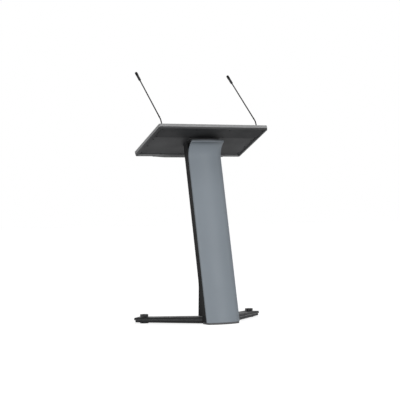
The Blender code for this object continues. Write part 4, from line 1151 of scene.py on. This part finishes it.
def build_microphone(side, sign):
    place = at_socket(sign)
    build_socket(side, place)
    build_base_ferrule(side, place)
    build_neck(side, place)
    build_stem(side, place)
    build_capsule(side, place)
    build_windscreen(side, place)


# -------- CAD nodes that stay in view
def dress_cad():
    """Give the CAD nodes that show between the modelled pieces their finishes."""
    # The mounting plate takes the underside's finish, with its painted shade and light.
    looks = {"column_spine": "powder_coat", "panel_tie_lower": "powder_coat",
             "panel_tie_upper": "powder_coat", "desk_mounting_plate": "under"}
    for node, look in looks.items():
        materials = frame["nodes"][node].data.materials
        materials.clear()
        materials.append(FINISH[look])


# -------- studio
CAMERA_AROUND = radians(26.84)      # from the audience's axis toward -X
CAMERA_AWAY = 7.0
CAMERA_HIGH = 0.627
CAMERA_TURN = radians(1.006)        # of the aim, past the lectern's foot
CAMERA_UP = radians(0.719)
CAMERA_ROLL = radians(-1.063)
CAMERA_LENS = 109.48


def add_camera():
    """Camera that circles the lectern's foot, then turns, tilts and rolls in its own place."""
    data = bpy.data.cameras.new("camera")
    data.lens = CAMERA_LENS
    camera = new_object("camera", data)
    camera.matrix_world = (
        TO_FOOT @ Matrix.Rotation(-CAMERA_AROUND, 4, "Z")
        @ shift((0, -CAMERA_AWAY, CAMERA_HIGH)) @ Matrix.Rotation(CAMERA_TURN, 4, "Z")
        @ Matrix.Rotation(pi / 2 + CAMERA_UP, 4, "X") @ Matrix.Rotation(CAMERA_ROLL, 4, "Z"))
    bpy.context.scene.camera = camera


def add_math(tree, operation, *sources):
    """Math node over (node, output) pairs."""
    made = tree.nodes.new("ShaderNodeMath")
    made.operation = operation
    for socket, (source, output) in enumerate(sources):
        wire(source, output, made, socket)
    return made


def background_share(tree):
    """1 on rays that should see the plain white background, 0 on rays that carry light."""
    path = tree.nodes.new("ShaderNodeLightPath")
    seen = add_math(tree, "MAXIMUM", (path, "Is Camera Ray"), (path, "Is Glossy Ray"))
    return add_math(tree, "MAXIMUM", (seen, "Value"), (path, "Is Transmission Ray"))


def add_world():
    world = bpy.data.worlds.new("studio")
    bpy.context.scene.world = world
    world.use_nodes = True
    tree = world.node_tree
    background = tree.nodes["Background"]
    background.inputs["Color"].default_value = (1, 1, 1, 1)
    strength = spread(background_share(tree), 0.19, 1.0, 0.0, 1.0, "Value")
    wire(strength, "Result", background, "Strength")


def add_floor():
    """Pale floor that shows near white, and keeps the object's shadow near its foot."""
    material, tree, shader = new_material("pale_floor", {
        "Base Color": (0.40, 0.40, 0.40, 1), "Roughness": 0.9, "Specular IOR Level": 0.1,
        "Emission Color": (1, 1, 1, 1)})
    away = tree.nodes.new("ShaderNodeVectorMath")
    away.operation = "LENGTH"
    wire(tree.nodes.new("ShaderNodeTexCoord"), "Object", away, "Vector")
    glow = spread(away, 0.80, 0.92, 1.0, 3.0, "Value")
    strength = add_math(tree, "MULTIPLY", (background_share(tree), "Value"), (glow, "Result"))
    wire(strength, "Value", shader, "Emission Strength")
    bm = bmesh.new()
    bmesh.ops.create_grid(bm, x_segments=1, y_segments=1, size=60)
    floor = new_object("floor", bm)
    floor.data.materials.append(material)


def add_lamp(name, size, power, place, target):
    data = bpy.data.lights.new(name, "AREA")
    data.shape = "DISK"
    data.size = size
    data.energy = power
    lamp = new_object(name, data)
    lamp.location = place
    lamp.rotation_euler = (Vector(target) - Vector(place)).to_track_quat("-Z", "Y").to_euler()
    lamp.visible_camera = False


def add_studio():
    add_camera()
    add_world()
    add_floor()
    add_lamp("left_key", 4.6, 229, (-5.8, -5.8, 2.5), (0, 0, 0.8))
    add_lamp("right_key", 4.6, 195, (2.5, -7.8, 2.5), (0, 0, 0.8))
    add_lamp("top", 3.0, 72, (0.3, -0.4, 4.4), (0, 0, 0.6))
    bpy.context.scene.view_settings.view_transform = "Standard"


# -------- build
build_front_panel()
build_grommet(build_rear_shell())
build_base()
for SIDE, SIGN in (("left", -1), ("right", 1)):
    build_leg(SIDE, SIGN)
    build_foot(SIDE)
    build_microphone(SIDE, SIGN)
build_board()
build_band()
build_tray()
build_cover()
build_tray_screws()
build_paper_stop()
build_bolts()
dress_cad()
add_studio()
